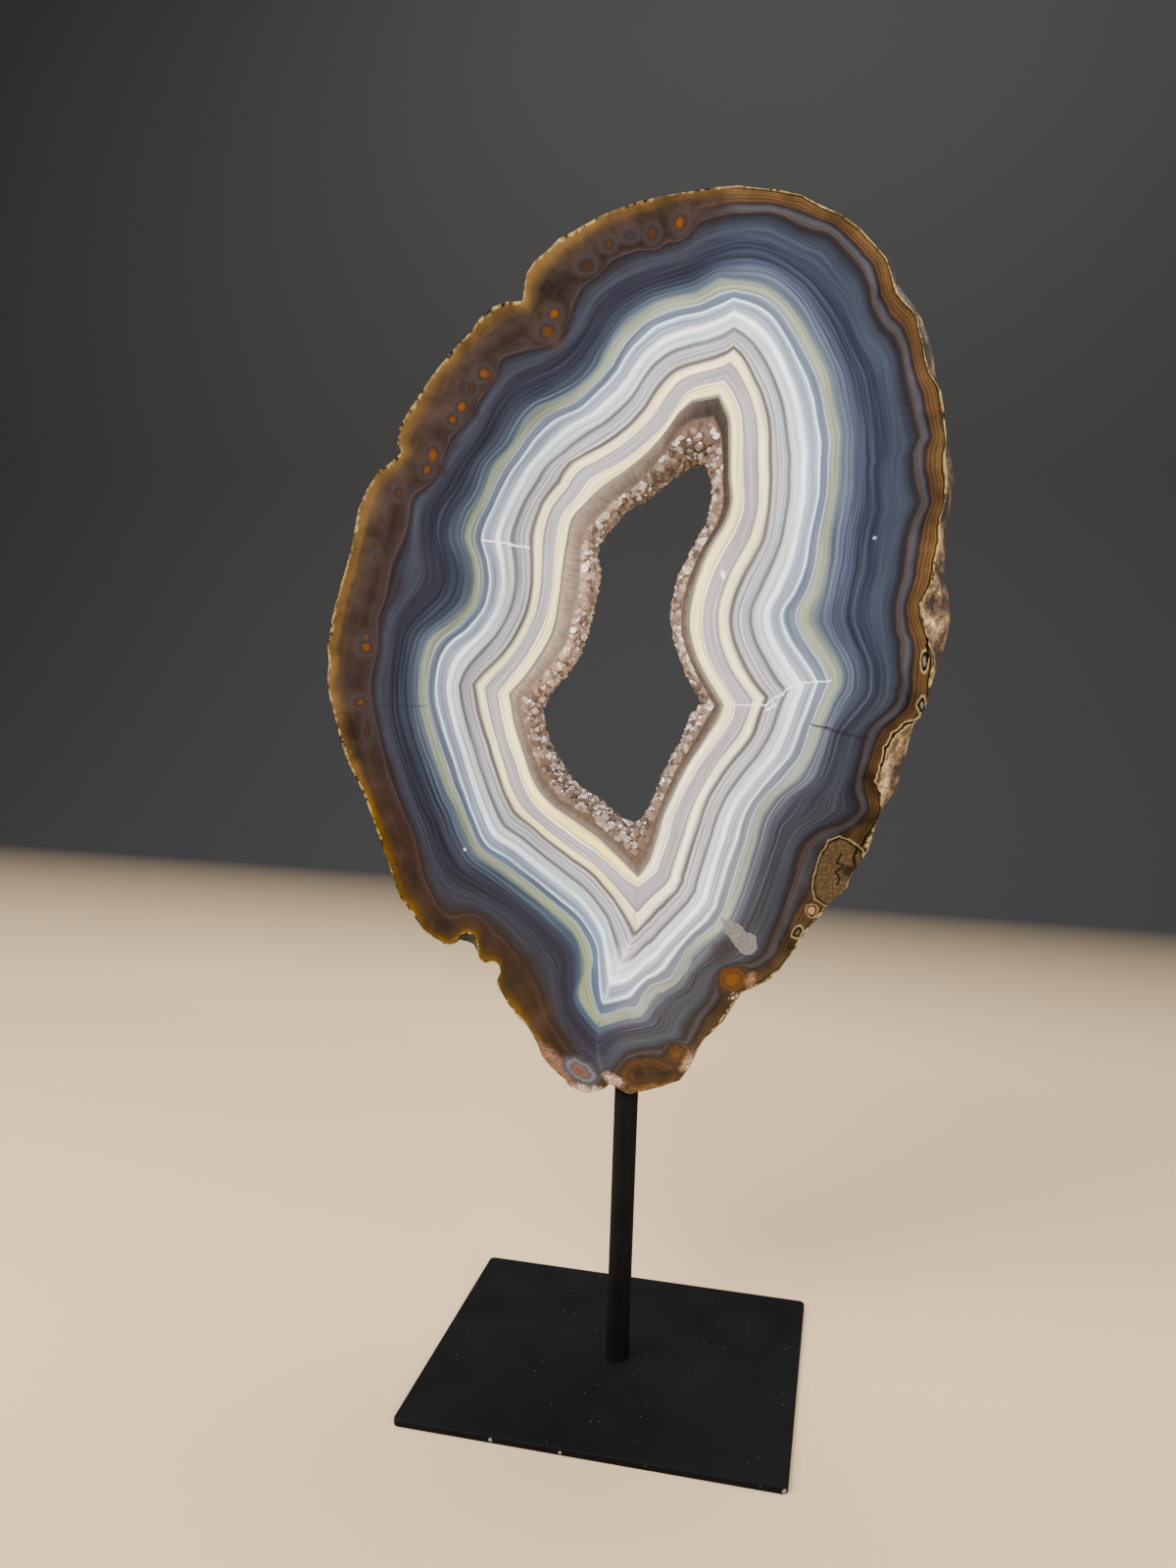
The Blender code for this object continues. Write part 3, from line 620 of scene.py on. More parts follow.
@dataclass
class AgateSlice:
    """The stone: two polished faces, a rough rim, and the wall of the hollow. Millimetres.

    A corner is the x and z that a zone of the faces starts or ends at.
    """

    growth: GrowthMap
    thickness: float = 12.0
    front_rings: tuple[int, ...] = (3, 4, 6, 3, 5, 5, 4)
    back_rings: tuple[int, ...] = (2, 2, 3, 2, 2, 3, 3)
    rim_rows: int = 14
    flare_curve: float = 0.6
    flare_bands: Span = (40.0, 65.0)
    rim_roughness: float = 2.6
    rim_edge_roughness: float = 0.3
    rim_inset: float = 0.5
    rim_lump: float = 9.0
    rim_pit: float = 3.0
    rim_pit_share: float = 0.5
    rim_grain: float = 1.3
    rim_grain_depth: float = 0.5
    rim_grain_fade: int = 4
    eye_bands: float = 45.0
    eye_corner: Span = (20.0, 200.0)
    edge_corners: tuple[Span, Span] = ((50.0, 150.0), (28.0, 168.0))
    edge_top: float = 262.0
    foot_corner: Span = (50.0, 168.0)

    def build(self) -> Piece:
        """Shape the slice.

        Returns:
            The slice's mesh object, welded and smooth on its rim.
        """
        rows, across = [], []
        front, bands = self._face(self.front_rings, 0.0)
        rows += front
        across += bands
        for k in range(1, self.rim_rows):
            rows.append(self._rim(k / self.rim_rows))
            across.append(CONTOUR_BANDS[-1])
        back, bands = self._face(self.back_rings, 1.0)
        rows += back[::-1] + [front[0]]
        across += bands[::-1] + [bands[0]]
        points = np.stack(rows, axis=1) * MM
        bands = self.growth.swing(across)
        piece = grid_sheet("banded_agate_slice", points, self.growth.around * MM, bands * MM)
        self._mark_zones(piece, across, len(front), len(back))
        weld(piece)
        return piece

    def _depth(self, share: float) -> float:
        """Give the y of a share of the thickness, from the front face to the back face."""
        return (share - 0.5) * self.thickness

    def _face(self, rings: tuple[int, ...], share: float) -> tuple[list[np.ndarray], list[float]]:
        """Lay one cut face's rings of points, from the hollow out.

        Args:
            rings: How many rings lie between each contour and the next.
            share: 0 for the front face, 1 for the back face.

        Returns:
            The rings' points, and each ring's place across the bands.
        """
        contours = self.growth.contours
        outward = facing(contours[:, -1, 0], contours[:, -1, 1])
        rows, bands = [], []
        for j, count in enumerate(rings):
            for step in range(count):
                s = step / count
                flat = contours[:, j] * (1 - s) + contours[:, j + 1] * s
                band = CONTOUR_BANDS[j] * (1 - s) + CONTOUR_BANDS[j + 1] * s
                push = share * self.growth.flare * ease(np.array(band), *self.flare_bands)
                flat = flat + outward * push[:, None]
                rows.append(np.insert(flat, 1, self._depth(share), axis=1))
                bands.append(band)
        rows.append(self._rim(share))
        bands.append(CONTOUR_BANDS[-1])
        return rows, bands

    def _rim(self, share: float) -> np.ndarray:
        """Roughen the skin's outline at a share of the thickness.

        Args:
            share: From 0 at the front face to 1 at the back face.

        Returns:
            The ring of points.
        """
        skin = self.growth.contours[:, -1]
        outward = facing(skin[:, 0], skin[:, 1])
        y = self._depth(share)
        edge = abs(share - 0.5) * 2
        amount = self.rim_roughness * (1 - edge) + self.rim_edge_roughness * edge
        push = self.growth.flare * share ** self.flare_curve
        for i, (x, z) in enumerate(skin):
            spot = Vector((x, y, z))
            lump = noise.noise(spot / self.rim_lump) + self.rim_pit_share * noise.noise(spot / self.rim_pit)
            grain = abs(noise.noise(spot / self.rim_grain)) * self.rim_grain_depth
            grain *= 1 - edge ** self.rim_grain_fade
            push[i] += amount * (lump - self.rim_inset * (1 - edge)) - grain
        return np.insert(skin + outward * push[:, None], 1, y, axis=1)

    def _mark_zones(
        self, piece: Piece, across: list[float], front_rows: int, back_rows: int,
    ) -> None:
        """Give each zone its material slot, smooth the rim's shading, and keep the cut faces flat.

        Args:
            piece: The slice, before it is welded.
            across: Each ring's place across the bands.
            front_rows: How many rings the front face has.
            back_rows: How many rings the back face has.
        """
        mesh = piece.data
        columns = len(self.growth.around) - 1
        total = front_rows + self.rim_rows - 1 + back_rows
        row = np.repeat(np.arange(total), columns)
        is_rim = (row >= front_rows - 1) & (row < front_rows - 1 + self.rim_rows)
        centre = np.zeros(len(mesh.polygons) * 3, np.float32)
        mesh.polygons.foreach_get("center", centre)
        x, _, z = centre.reshape(-1, 3).T / MM
        outer = np.array(across)[row] > self.eye_bands
        zone = np.where(is_rim, Zone.SKIN.value, Zone.BANDS.value)
        upper, lower = ((x > left) & (z > foot) for left, foot in self.edge_corners)
        for place, spot in (
            (Zone.EYES, outer & (x < self.eye_corner[0]) & (z > self.eye_corner[1])),
            (Zone.RIGHT_EDGE, (upper | lower) & (z < self.edge_top)),
            (Zone.FOOT, (x < self.foot_corner[0]) & (z < self.foot_corner[1])),
        ):
            zone[spot & ~is_rim] = place.value
        mesh.polygons.foreach_set("material_index", zone.astype(np.int32))
        mesh.polygons.foreach_set("use_smooth", is_rim)
        flare = mesh.attributes.new(FLARE, "FLOAT", "POINT")
        values = np.tile(self.growth.flare, total + 1)
        flare.data.foreach_set("value", values.astype(np.float32))

    def dress(self, piece: Piece) -> None:
        """Give the slice its polished faces and its rough skin.

        Args:
            piece: The slice.
        """
        finishes = {
            Zone.BANDS: PolishedAgate(name="polished_banded_agate", marks=BAND_MARKS),
            Zone.SKIN: StoneSkin(),
            Zone.EYES: PolishedAgate(name="polished_rind_agate", eyes=EYES, marks=LEFT_MARKS),
            Zone.FOOT: PolishedAgate(
                name="polished_foot_agate", eyes=FOOT_LOBES, marks=FOOT_MARKS, mark_wander=2.6,
            ),
            Zone.RIGHT_EDGE: PolishedAgate(name="polished_edge_agate", marks=EDGE_MARKS),
        }
        for zone in Zone:
            piece.data.materials.append(finishes[zone].make())


@dataclass
class CrystalCrust:
    """The hollow's lining: a layer of massive quartz, and the druse of points grown on it. Millimetres.

    thick_heights and thick_lefts say where the quartz thickens, by z and by how far left of x 0.
    A jitter is how far a crystal strays from its place in the grid, as a share of the grid's step.
    """

    growth: GrowthMap
    half_depth: float = 5.95
    wall_gap: float = 0.03
    quartz_share: float = 0.27
    left_share: float = 0.2
    thick_heights: Span = (225.0, 250.0)
    thick_lefts: Span = (-12.0, 8.0)
    druse_start: float = 0.48
    gap_shade_tone: float = 0.08
    roundness: float = 0.8
    crystal_height: float = 2.3
    quartz_rings: int = 4
    druse_rows: int = 20
    druse_roughness: float = 0.35
    druse_lump: float = 1.6
    spacing: float = 1.45
    crystal_rows: int = 12
    middle_shares: Span = (0.3, 0.7)
    jitter_round: float = 0.35
    jitter_along: float = 0.4
    radius_range: Span = (0.65, 1.55)
    radius_rise: Span = (0.75, 0.5)
    flatness: Span = (0.85, 1.1)
    height_range: Span = (1.5, 2.9)
    face_jitter: float = 0.05
    tip_rise: float = 0.5
    rooted: float = 0.9
    tilt: float = 0.36
    seed: int = 11

    def build(self) -> Piece:
        """Shape the crust.

        Returns:
            One mesh object with the massive quartz and the crystals.
        """
        layer = self._build_layer()
        crystals = self._grow_crystals()
        deselect_all()
        crystals.select_set(True)
        layer.select_set(True)
        bpy.context.view_layer.objects.active = layer
        bpy.ops.object.join()
        return layer

    def _root(self, edge: np.ndarray, tip: np.ndarray) -> np.ndarray:
        """Find where the massive quartz ends: it is thickest on the hollow's upper left wall.

        Args:
            edge: Points on the hollow's edge.
            tip: The crust's tips across from them.

        Returns:
            The points where the quartz ends.
        """
        upper = ease(edge[:, 1], *self.thick_heights)
        left = ease(-edge[:, 0], *self.thick_lefts)
        share = self.quartz_share + self.left_share * upper * left
        return edge + (tip - edge) * share[:, None]

    def _druse(
        self, place: np.ndarray, along: np.ndarray, lift: np.ndarray,
    ) -> tuple[np.ndarray, np.ndarray, np.ndarray]:
        """Find points of the druse's ground, from the front face (along 0) round to the back (along 1).

        Args:
            place: Rows of the hollow's curve, as fractions.
            along: Shares of the way from the front face to the back face.
            lift: Heights over the ground.

        Returns:
            The points, the directions that crystals grow in, and the shares of the way to the tips.
        """
        rows = np.arange(len(self.growth.hollow))
        edge_x, edge_z, tip_x, tip_z = (np.interp(place, rows, self.growth.hollow[:, i]) for i in range(4))
        edge = np.column_stack((edge_x, edge_z))
        tip = np.column_stack((tip_x, tip_z))
        root = self._root(edge, tip)
        reach = tip - root
        width = np.hypot(*reach.T)
        outward = reach / width[:, None]
        angle = np.pi * along
        swell = (width - self.crystal_height) * np.sin(angle) ** self.roundness
        distance = swell + lift * np.sin(angle)
        flat = root + outward * distance[:, None]
        y = -(self.half_depth + lift) * np.cos(angle)
        points = np.insert(flat, 1, y, axis=1)
        inward = outward * (np.sin(angle) / np.maximum(width - self.crystal_height, 1.0))[:, None]
        normal = np.insert(inward, 1, -np.cos(angle) / self.half_depth, axis=1)
        normal /= np.linalg.norm(normal, axis=1)[:, None]
        toward_tip = self.druse_start + (1 - self.druse_start) * distance / width
        return points, normal, toward_tip

    def _build_layer(self) -> Piece:
        """Shape the massive quartz: its two cut faces, its hidden wall and the druse's ground.

        Returns:
            The layer's mesh object.
        """
        hollow = self.growth.hollow
        count = len(hollow)
        place = np.arange(count, dtype=float)
        edge, tip = hollow[:, :2], hollow[:, 2:]
        inward = (tip - edge) / np.hypot(*(tip - edge).T)[:, None]
        wall = edge + inward * self.wall_gap
        root = self._root(edge, tip)
        front, shares = [], []
        for k in range(self.quartz_rings):
            share = k / self.quartz_rings
            front.append(np.insert(wall * (1 - share) + root * share, 1, -self.half_depth, axis=1))
            shares.append(np.full(count, share * self.druse_start))
        rows, toward = list(front), list(shares)
        for k in range(self.druse_rows + 1):
            along = k / self.druse_rows
            points, normal, toward_tip = self._druse(place, np.full(count, along), np.zeros(count))
            swing = np.array([noise.noise(Vector(point) / self.druse_lump) for point in points])
            points += normal * (swing * self.druse_roughness * np.sin(np.pi * along))[:, None]
            points[-1] = points[0]
            rows.append(points)
            toward.append(toward_tip)
        for ring, share in zip(front[::-1], shares[::-1]):
            rows.append(ring * np.array((1, -1, 1)))
            toward.append(share)
        rows.append(front[0])
        toward.append(shares[0])
        lengths = np.hypot(*np.diff(edge, axis=0).T)
        around = np.concatenate(((0.0,), np.cumsum(lengths)))
        across = np.tile([share.mean() for share in toward], (count, 1))
        piece = grid_sheet("quartz_crystal_crust", np.stack(rows, axis=1) * MM, around * MM, across)
        mesh = piece.data
        values = np.stack(toward).ravel()
        mesh.attributes.new(TOWARD_TIP, "FLOAT", "POINT").data.foreach_set("value", values.astype(np.float32))
        # The ground between the points takes a low tone: painted shade in the gaps between the crystals.
        tones = np.full(len(mesh.vertices), self.gap_shade_tone, np.float32)
        mesh.attributes.new(CRYSTAL_TONE, "FLOAT", "POINT").data.foreach_set("value", tones)
        mesh.polygons.foreach_set("use_smooth", np.ones(len(mesh.polygons), bool))
        weld(piece)
        bpy.ops.object.shade_smooth_by_angle(angle=math.radians(50))
        return piece

    @staticmethod
    def _model_crystal() -> tuple[np.ndarray, list[tuple[int, ...]]]:
        """Model one six-sided quartz point, 1 in radius and height, standing on the origin.

        Returns:
            Its corners, and its faces as corner numbers. It has no underside, which is in the rock.
        """
        deselect_all()
        bpy.ops.mesh.primitive_cylinder_add(
            vertices=6, radius=1.0, depth=PRISM_HEIGHT, location=(0, 0, PRISM_HEIGHT / 2),
        )
        crystal = bpy.context.object
        bpy.ops.object.transform_apply(location=True)
        pick(crystal, "polygons", lambda centre, normal: normal.z > 0.9)
        bpy.ops.mesh.extrude_region_move(TRANSFORM_OT_translate={"value": (0, 0, 1 - PRISM_HEIGHT)})
        bpy.ops.mesh.merge(type="CENTER")
        bpy.ops.object.mode_set(mode="OBJECT")
        pick(crystal, "polygons", lambda centre, normal: normal.z < -0.9)
        bpy.ops.mesh.delete(type="ONLY_FACE")
        bpy.ops.object.mode_set(mode="OBJECT")
        corners = np.array([vert.co for vert in crystal.data.vertices])
        faces = [tuple(face.vertices) for face in crystal.data.polygons]
        bpy.data.objects.remove(crystal, do_unlink=True)
        return corners, faces

    def _grow_crystals(self) -> Piece:
        """Stand copies of one crystal all over the druse's ground, each with its own size and lean.

        Returns:
            One mesh object with every crystal in it.
        """
        chance = random.Random(self.seed)
        corners, faces = self._model_crystal()
        hollow = self.growth.hollow
        middle = hollow[:, :2] * self.middle_shares[0] + hollow[:, 2:] * self.middle_shares[1]
        place = np.concatenate(((0.0,), np.cumsum(np.hypot(*np.diff(middle, axis=0).T))))
        count = int(place[-1] / self.spacing)
        spots, along = [], []
        for row in range(self.crystal_rows):
            for k in range(count):
                stray = chance.uniform(-self.jitter_round, self.jitter_round)
                station = (k + 0.5 * (row % 2) + stray) / count % 1 * place[-1]
                spots.append(np.interp(station, place, np.arange(len(place))))
                stray = chance.uniform(-self.jitter_along, self.jitter_along)
                along.append((row + 0.5 + stray) / self.crystal_rows)
        points, normal, toward_tip = self._druse(np.array(spots), np.array(along), np.zeros(len(spots)))
        vertices, loops, tips, tones = [], [], [], []
        for point, direction, share in zip(points, normal, toward_tip):
            lean = Vector(direction) + Vector([chance.gauss(0, self.tilt) for _ in range(3)])
            radius = chance.uniform(*self.radius_range) * (self.radius_rise[0] + self.radius_rise[1] * share)
            height = chance.uniform(*self.height_range)
            turn = lean.to_track_quat("Z", "Y").to_matrix() @ Matrix.Rotation(chance.uniform(0, 1), 3, "Z")
            shape = corners * (radius * chance.uniform(*self.flatness), radius, height) @ np.array(turn).T
            shape += point - np.array(lean.normalized()) * self.rooted
            limit = self.half_depth - chance.uniform(0, self.face_jitter)
            shape[:, 1] = np.clip(shape[:, 1], -limit, limit)
            first = len(vertices) * len(corners)
            loops += [tuple(first + corner for corner in face) for face in faces]
            vertices.append(shape)
            tips.append(share + (1 - share) * self.tip_rise * corners[:, 2])
            tones.append(np.full(len(corners), chance.random()))
        mesh = bpy.data.meshes.new("crystals")
        mesh.from_pydata((np.concatenate(vertices) * MM).tolist(), [], loops)
        for name, values in ((TOWARD_TIP, tips), (CRYSTAL_TONE, tones)):
            data = np.concatenate(values).astype(np.float32)
            mesh.attributes.new(name, "FLOAT", "POINT").data.foreach_set("value", data)
        mesh.uv_layers.new(name=GROWTH_UV)
        crystals = bpy.data.objects.new("crystals", mesh)
        bpy.context.scene.collection.objects.link(crystals)
        return crystals

    def dress(self, piece: Piece) -> None:
        """Give the crust its smoky quartz.

        Args:
            piece: The crust.
        """
        piece.data.materials.clear()
        piece.data.materials.append(SmokyQuartz().make())


@dataclass
class RodStand:
    """The stand: a flat plate, and a bar whose pin carries the slice. Millimetres."""

    plate_width: float = 124.0
    plate_depth: float = 107.0
    plate_thickness: float = 2.3
    corner_radius: float = 2.0
    edge_round: float = 0.35
    rod_radius: float = 4.0
    rod_gap: float = 0.3
    shoulder_height: float = 101.2
    shoulder_round: float = 0.25
    pin_radius: float = 2.5
    pin_length: float = 10.0

    def build_plate(self) -> Piece:
        """Shape the plate from a cube: rounded corners, then a small round on every sharp rim.

        Returns:
            The plate's mesh object.
        """
        deselect_all()
        size = Vector((self.plate_width, self.plate_depth, self.plate_thickness)) * MM
        bpy.ops.mesh.primitive_cube_add(size=1.0, location=(0, 0, size.z / 2), scale=size)
        plate = bpy.context.object
        plate.name = plate.data.name = "stand_plate"
        bpy.ops.object.transform_apply(location=True, scale=True)
        pick(plate, "edges", lambda centre, along: abs(along.z) > size.z / 2)
        bpy.ops.mesh.bevel(offset=self.corner_radius * MM, segments=8, affect="EDGES")
        pick(plate, "edges", lambda centre, along: abs(along.z) < size.z / 2)
        bpy.ops.mesh.bevel(offset=self.edge_round * MM, segments=3, affect="EDGES")
        bpy.ops.object.mode_set(mode="OBJECT")
        bpy.ops.object.shade_smooth_by_angle(angle=math.radians(30))
        return plate

    def build_rod(self) -> Piece:
        """Shape the bar from a cylinder: its end is inset and drawn up into the pin.

        Returns:
            The bar's mesh object.
        """
        deselect_all()
        bottom = self.plate_thickness + self.rod_gap
        length = self.shoulder_height - bottom
        middle = (0, 0, (bottom + length / 2) * MM)
        bpy.ops.mesh.primitive_cylinder_add(
            vertices=64, radius=self.rod_radius * MM, depth=length * MM, location=middle,
        )
        rod = bpy.context.object
        rod.name = rod.data.name = "stand_rod"
        bpy.ops.object.transform_apply(location=True)
        pick(rod, "polygons", lambda centre, normal: normal.z > 0.9)
        bpy.ops.mesh.inset(thickness=(self.rod_radius - self.pin_radius) * MM)
        bpy.ops.mesh.extrude_region_move(TRANSFORM_OT_translate={"value": (0, 0, self.pin_length * MM)})
        top = self.shoulder_height * MM
        wide = (self.rod_radius * 0.97) * MM
        pick(rod, "edges", lambda centre, along: abs(centre.z - top) < 1e-5 and centre.xy.length > wide)
        bpy.ops.mesh.bevel(offset=self.shoulder_round * MM, segments=3, affect="EDGES")
        bpy.ops.object.mode_set(mode="OBJECT")
        bpy.ops.object.shade_smooth_by_angle(angle=math.radians(30))
        return rod

    def dress(self, plate: Piece, rod: Piece) -> None:
        """Give the plate and the bar their powder coat.

        Args:
            plate: The plate.
            rod: The bar.
        """
        coat = PowderCoat().make()
        plate.data.materials.append(coat)
        rod.data.materials.append(coat)


# The bands' colours, from the hollow out.
CREAM_BANDS = (
    (0.0, "#857a74"), (0.3, "#595250"), (0.6, "#756c66"), (1.0, "#b7aa84"), (1.3, "#f2e09c"),
    (2.2, "#f4e3a2"), (3.3, "#f2e09c"), (3.6, "#d6c794"), (3.9, "#b7aa86"), (4.2, "#ece6cc"),
    (4.5, "#e6e0c8"), (4.8, "#9e978e"), (5.2, "#908b8b"), (5.9, "#9c989a"), (7.2, "#938f97"),
    (8.2, "#a09c9e"), (8.5, "#7c7a7a"), (8.8, "#7f7d78"), (9.1, "#c8c19a"), (9.5, "#eee2ac"),
    (10.4, "#f0e5b2"), (11.3, "#dcd3a0"), (11.8, "#a8a18a"), (12.2, "#605b58"), (12.8, "#524d4c"),
    (13.1, "#767271"), (13.5, "#aaa8a8"), (14.2, "#a09ea0"), (14.6, "#7c7c7f"), (15.0, "#908f95"),
)
WHITE_BANDS = (
    (15.0, "#908f95"), (15.3, "#b8babf"), (15.6, "#aaacb1"), (15.9, "#828388"), (16.3, "#a4a5aa"),
    (17.4, "#8d8c90"), (17.8, "#66666a"), (18.3, "#5c5c5f"), (18.7, "#717074"), (19.1, "#b3b7bd"),
    (20.0, "#b7c2c8"), (21.4, "#a7b1b9"), (22.0, "#cfdae0"), (22.6, "#eff1f3"), (23.3, "#dce7ef"),
    (24.0, "#9da6b0"), (24.6, "#838b97"), (25.2, "#9199a8"), (25.7, "#767e8d"), (26.4, "#8791a2"),
    (27.0, "#97a3b8"), (27.4, "#d7e9ef"), (27.9, "#838c9e"), (28.2, "#5b6373"), (29.4, "#565f6f"),
    (29.9, "#626876"), (30.2, "#96a1aa"), (30.6, "#747d76"), (31.2, "#808773"), (32.8, "#797f6e"),
    (33.5, "#5c6766"), (34.0, "#4e5760"),
)
NAVY_BANDS = {
    Side.RIGHT: (
        (34.0, "#4e5760"), (34.6, "#434956"), (35.4, "#454b5a"), (35.8, "#576071"), (36.1, "#434957"),
        (37.1, "#3e4453"), (37.5, "#4c5365"), (37.9, "#363b4b"), (38.6, "#3f4555"), (38.9, "#333847"),
        (39.3, "#3a4051"), (39.7, "#2e3241"), (40.4, "#363b4b"), (40.8, "#2a2e3b"), (41.3, "#323647"),
        (41.7, "#252834"), (42.4, "#222531"), (42.8, "#2f3342"), (43.3, "#2a2e3b"), (43.8, "#343949"),
        (44.3, "#292d3a"), (45.0, "#242834"), (46.4, "#252936"), (47.4, "#292d3a"), (48.6, "#2b2f3c"),
        (50.2, "#2e333f"), (51.6, "#2f3440"), (52.8, "#2c303b"), (53.9, "#282b35"), (55.0, "#222329"),
        (56.2, "#1d1b1e"), (57.0, "#2a2423"),
    ),
    Side.LEFT: (
        (34.0, "#4e5760"), (34.8, "#3e4550"), (35.5, "#373f49"), (36.0, "#464f5a"), (36.4, "#2f3540"),
        (37.3, "#2c313c"), (37.8, "#363b47"), (38.2, "#282b35"), (39.3, "#252832"), (39.8, "#2e313d"),
        (40.3, "#23242e"), (41.2, "#272934"), (41.8, "#202029"), (42.8, "#1e1e28"), (43.3, "#24252f"),
        (44.2, "#1f1f28"), (45.2, "#21222c"), (46.5, "#24252d"), (48.0, "#292b34"), (50.0, "#2e303a"),
        (51.5, "#2d2f38"), (52.8, "#292b32"), (54.0, "#26262c"), (55.2, "#222125"), (56.2, "#1e1b1d"),
        (56.8, "#1f1818"), (57.0, "#2a2120"),
    ),
}
RIND_BANDS = {
    Side.RIGHT: (
        (57.0, "#2a2423"), (57.3, "#43352e"), (57.6, "#322b2b"), (58.1, "#37363b"), (58.8, "#333338"),
        (59.4, "#28262a"), (59.9, "#201716"), (60.4, "#2d2018"), (60.9, "#45301c"), (61.4, "#302318"),
        (62.0, "#4b351d"), (62.5, "#372817"), (63.0, "#50391e"), (63.5, "#3e2d1a"), (63.9, "#5a4122"),
        (64.1, "#1a1007"), (64.3, "#120c06"), (64.6, "#564526"), (65.0, "#7f6d47"),
    ),
    Side.LEFT: (
        (57.0, "#2a2120"), (57.3, "#382c29"), (57.7, "#2a2322"), (58.4, "#29201d"), (59.4, "#271c18"),
        (60.4, "#2b201b"), (61.3, "#2f2420"), (62.0, "#30251e"), (62.8, "#382a1d"), (63.4, "#45331e"),
        (64.0, "#503a1a"), (64.5, "#553f20"), (65.0, "#6a5736"),
    ),
}


@dataclass(frozen=True, kw_only=True)
class Mark:
    """A mark in the stone, in layers of colour, the lowest first.

    Each layer says how far past the mark's edge it reaches and how soft its own edge is, in
    millimetres, and its colour. speck is the colour of grains all over the mark, and cover is how
    much of the stone under it the mark hides.
    """

    layers: tuple[tuple[float, float, str], ...]
    speck: str = ""
    cover: float = 1.0

    def depth(self, tree: Tree, place: Socket) -> Socket:
        """Give the distance out from the mark's edge, in millimetres."""
        raise NotImplementedError

    def lay(self, tree: Tree, place: Socket, depth: Socket, colour: Socket) -> Socket:
        """Lay the mark over a colour.

        Args:
            tree: The material's node tree.
            place: Object coordinates in millimetres.
            depth: The distance out from the mark's edge.
            colour: The colour under the mark.

        Returns:
            The colour with the mark on it.
        """
        for reach, soft, code in self.layers:
            share = add_node(tree, "MapRange", SMOOTH, (depth, reach + soft, reach - soft, 0.0, self.cover))[0]
            colour = add_node(tree, "Mix", COLOURS, {0: share, 6: colour, 7: linear(code)})[2]
        if not self.speck:
            return colour
        grain = add_node(tree, "TexNoise", None, {"Vector": place, "Scale": SPECK_SCALE, "Detail": 3.0})["Fac"]
        grain = add_node(tree, "MapRange", None, (grain, *SPECK_RANGE))[0]
        grain = add_node(tree, "Math", TIMES, (grain, share))[0]
        return add_node(tree, "Mix", COLOURS, {0: grain, 6: colour, 7: linear(self.speck)})[2]


@dataclass(frozen=True, kw_only=True)
class Oval(Mark):
    """A round or oval mark. Millimetres and degrees."""

    x: float
    z: float
    wide: float
    high: float
    turn: float = 0.0

    def depth(self, tree: Tree, place: Socket) -> Socket:
        """Measure from the oval's edge.

        Args:
            tree: The material's node tree.
            place: Object coordinates in millimetres.

        Returns:
            The distance out from the edge, in millimetres.
        """
        local = add_node(tree, "Mapping", {"vector_type": "TEXTURE"}, {
            "Vector": place, "Location": (self.x, 0, self.z), "Rotation": (0, -math.radians(self.turn), 0),
            "Scale": (self.wide, 1 / MM, self.high),
        })[0]
        reach = add_node(tree, "VectorMath", {"operation": "LENGTH"}, (local,))["Value"]
        size = min(self.wide, self.high)
        return add_node(tree, "Math", {"operation": "MULTIPLY_ADD"}, (reach, size, -size))[0]


# The soft mauve ring round an eye, the dark one inside it, and the reach and softness of its core.
EYE_RINGS = ((1.5, 1.5, "#302929"), (0.4, 0.8, "#241b18"))
EYE_CORE = (-0.4, 0.8)


@dataclass(frozen=True, kw_only=True)
class Eye(Oval):
    """A small ring agate in the rind. It pushes the growth lines round it inward, in millimetres.

    reach and hold say, in the eye's own size, how far out the push starts and how far in it is full.
    limit is the last band that it can push a line to.
    """

    push: float
    reach: float = 3.0
    hold: float = 0.7
    limit: float = 62.3

    def bend(self, tree: Tree, depth: Socket, band: Socket) -> Socket:
        """Bend the bands round the eye.

        Args:
            tree: The material's node tree.
            depth: The distance out from the eye's edge.
            band: The place across the bands.

        Returns:
            The place across the bent bands.
        """
        size = min(self.wide, self.high)
        push = add_node(tree, "MapRange", SMOOTH, (
            depth, self.reach * size, -self.hold * size, 0.0, self.push,
        ))[0]
        pushed = add_node(tree, "Math", {"operation": "ADD"}, (band, push))[0]
        pushed = add_node(tree, "Math", {"operation": "MINIMUM"}, (pushed, self.limit))[0]
        return add_node(tree, "Math", {"operation": "MAXIMUM"}, (pushed, band))[0]


@dataclass(frozen=True, kw_only=True)
class Inset(Mark):
    """A straight-sided piece of other rock, given by its corners as x and z. Millimetres."""

    corners: tuple[Span, ...]

    def depth(self, tree: Tree, place: Socket) -> Socket:
        """Measure from the piece's nearest side.

        Args:
            tree: The material's node tree.
            place: Object coordinates in millimetres.

        Returns:
            The distance out from the side, in millimetres.
        """
        middle = Vector([sum(values) / len(self.corners) for values in zip(*self.corners)])
        depth = None
        for start, end in zip(self.corners, self.corners[1:] + self.corners[:1]):
            out = Vector((end[1] - start[1], start[0] - end[0])).normalized()
            if out.dot(Vector(start) - middle) < 0:
                out.negate()
            reach = add_node(tree, "VectorMath", {"operation": "DOT_PRODUCT"}, (
                place, (out.x, 0, out.y),
            ))["Value"]
            reach = add_node(tree, "Math", {"operation": "SUBTRACT"}, (reach, out.dot(Vector(start))))[0]
            if depth is not None:
                reach = add_node(tree, "Math", {"operation": "MAXIMUM"}, (reach, depth))[0]
            depth = reach
        return depth


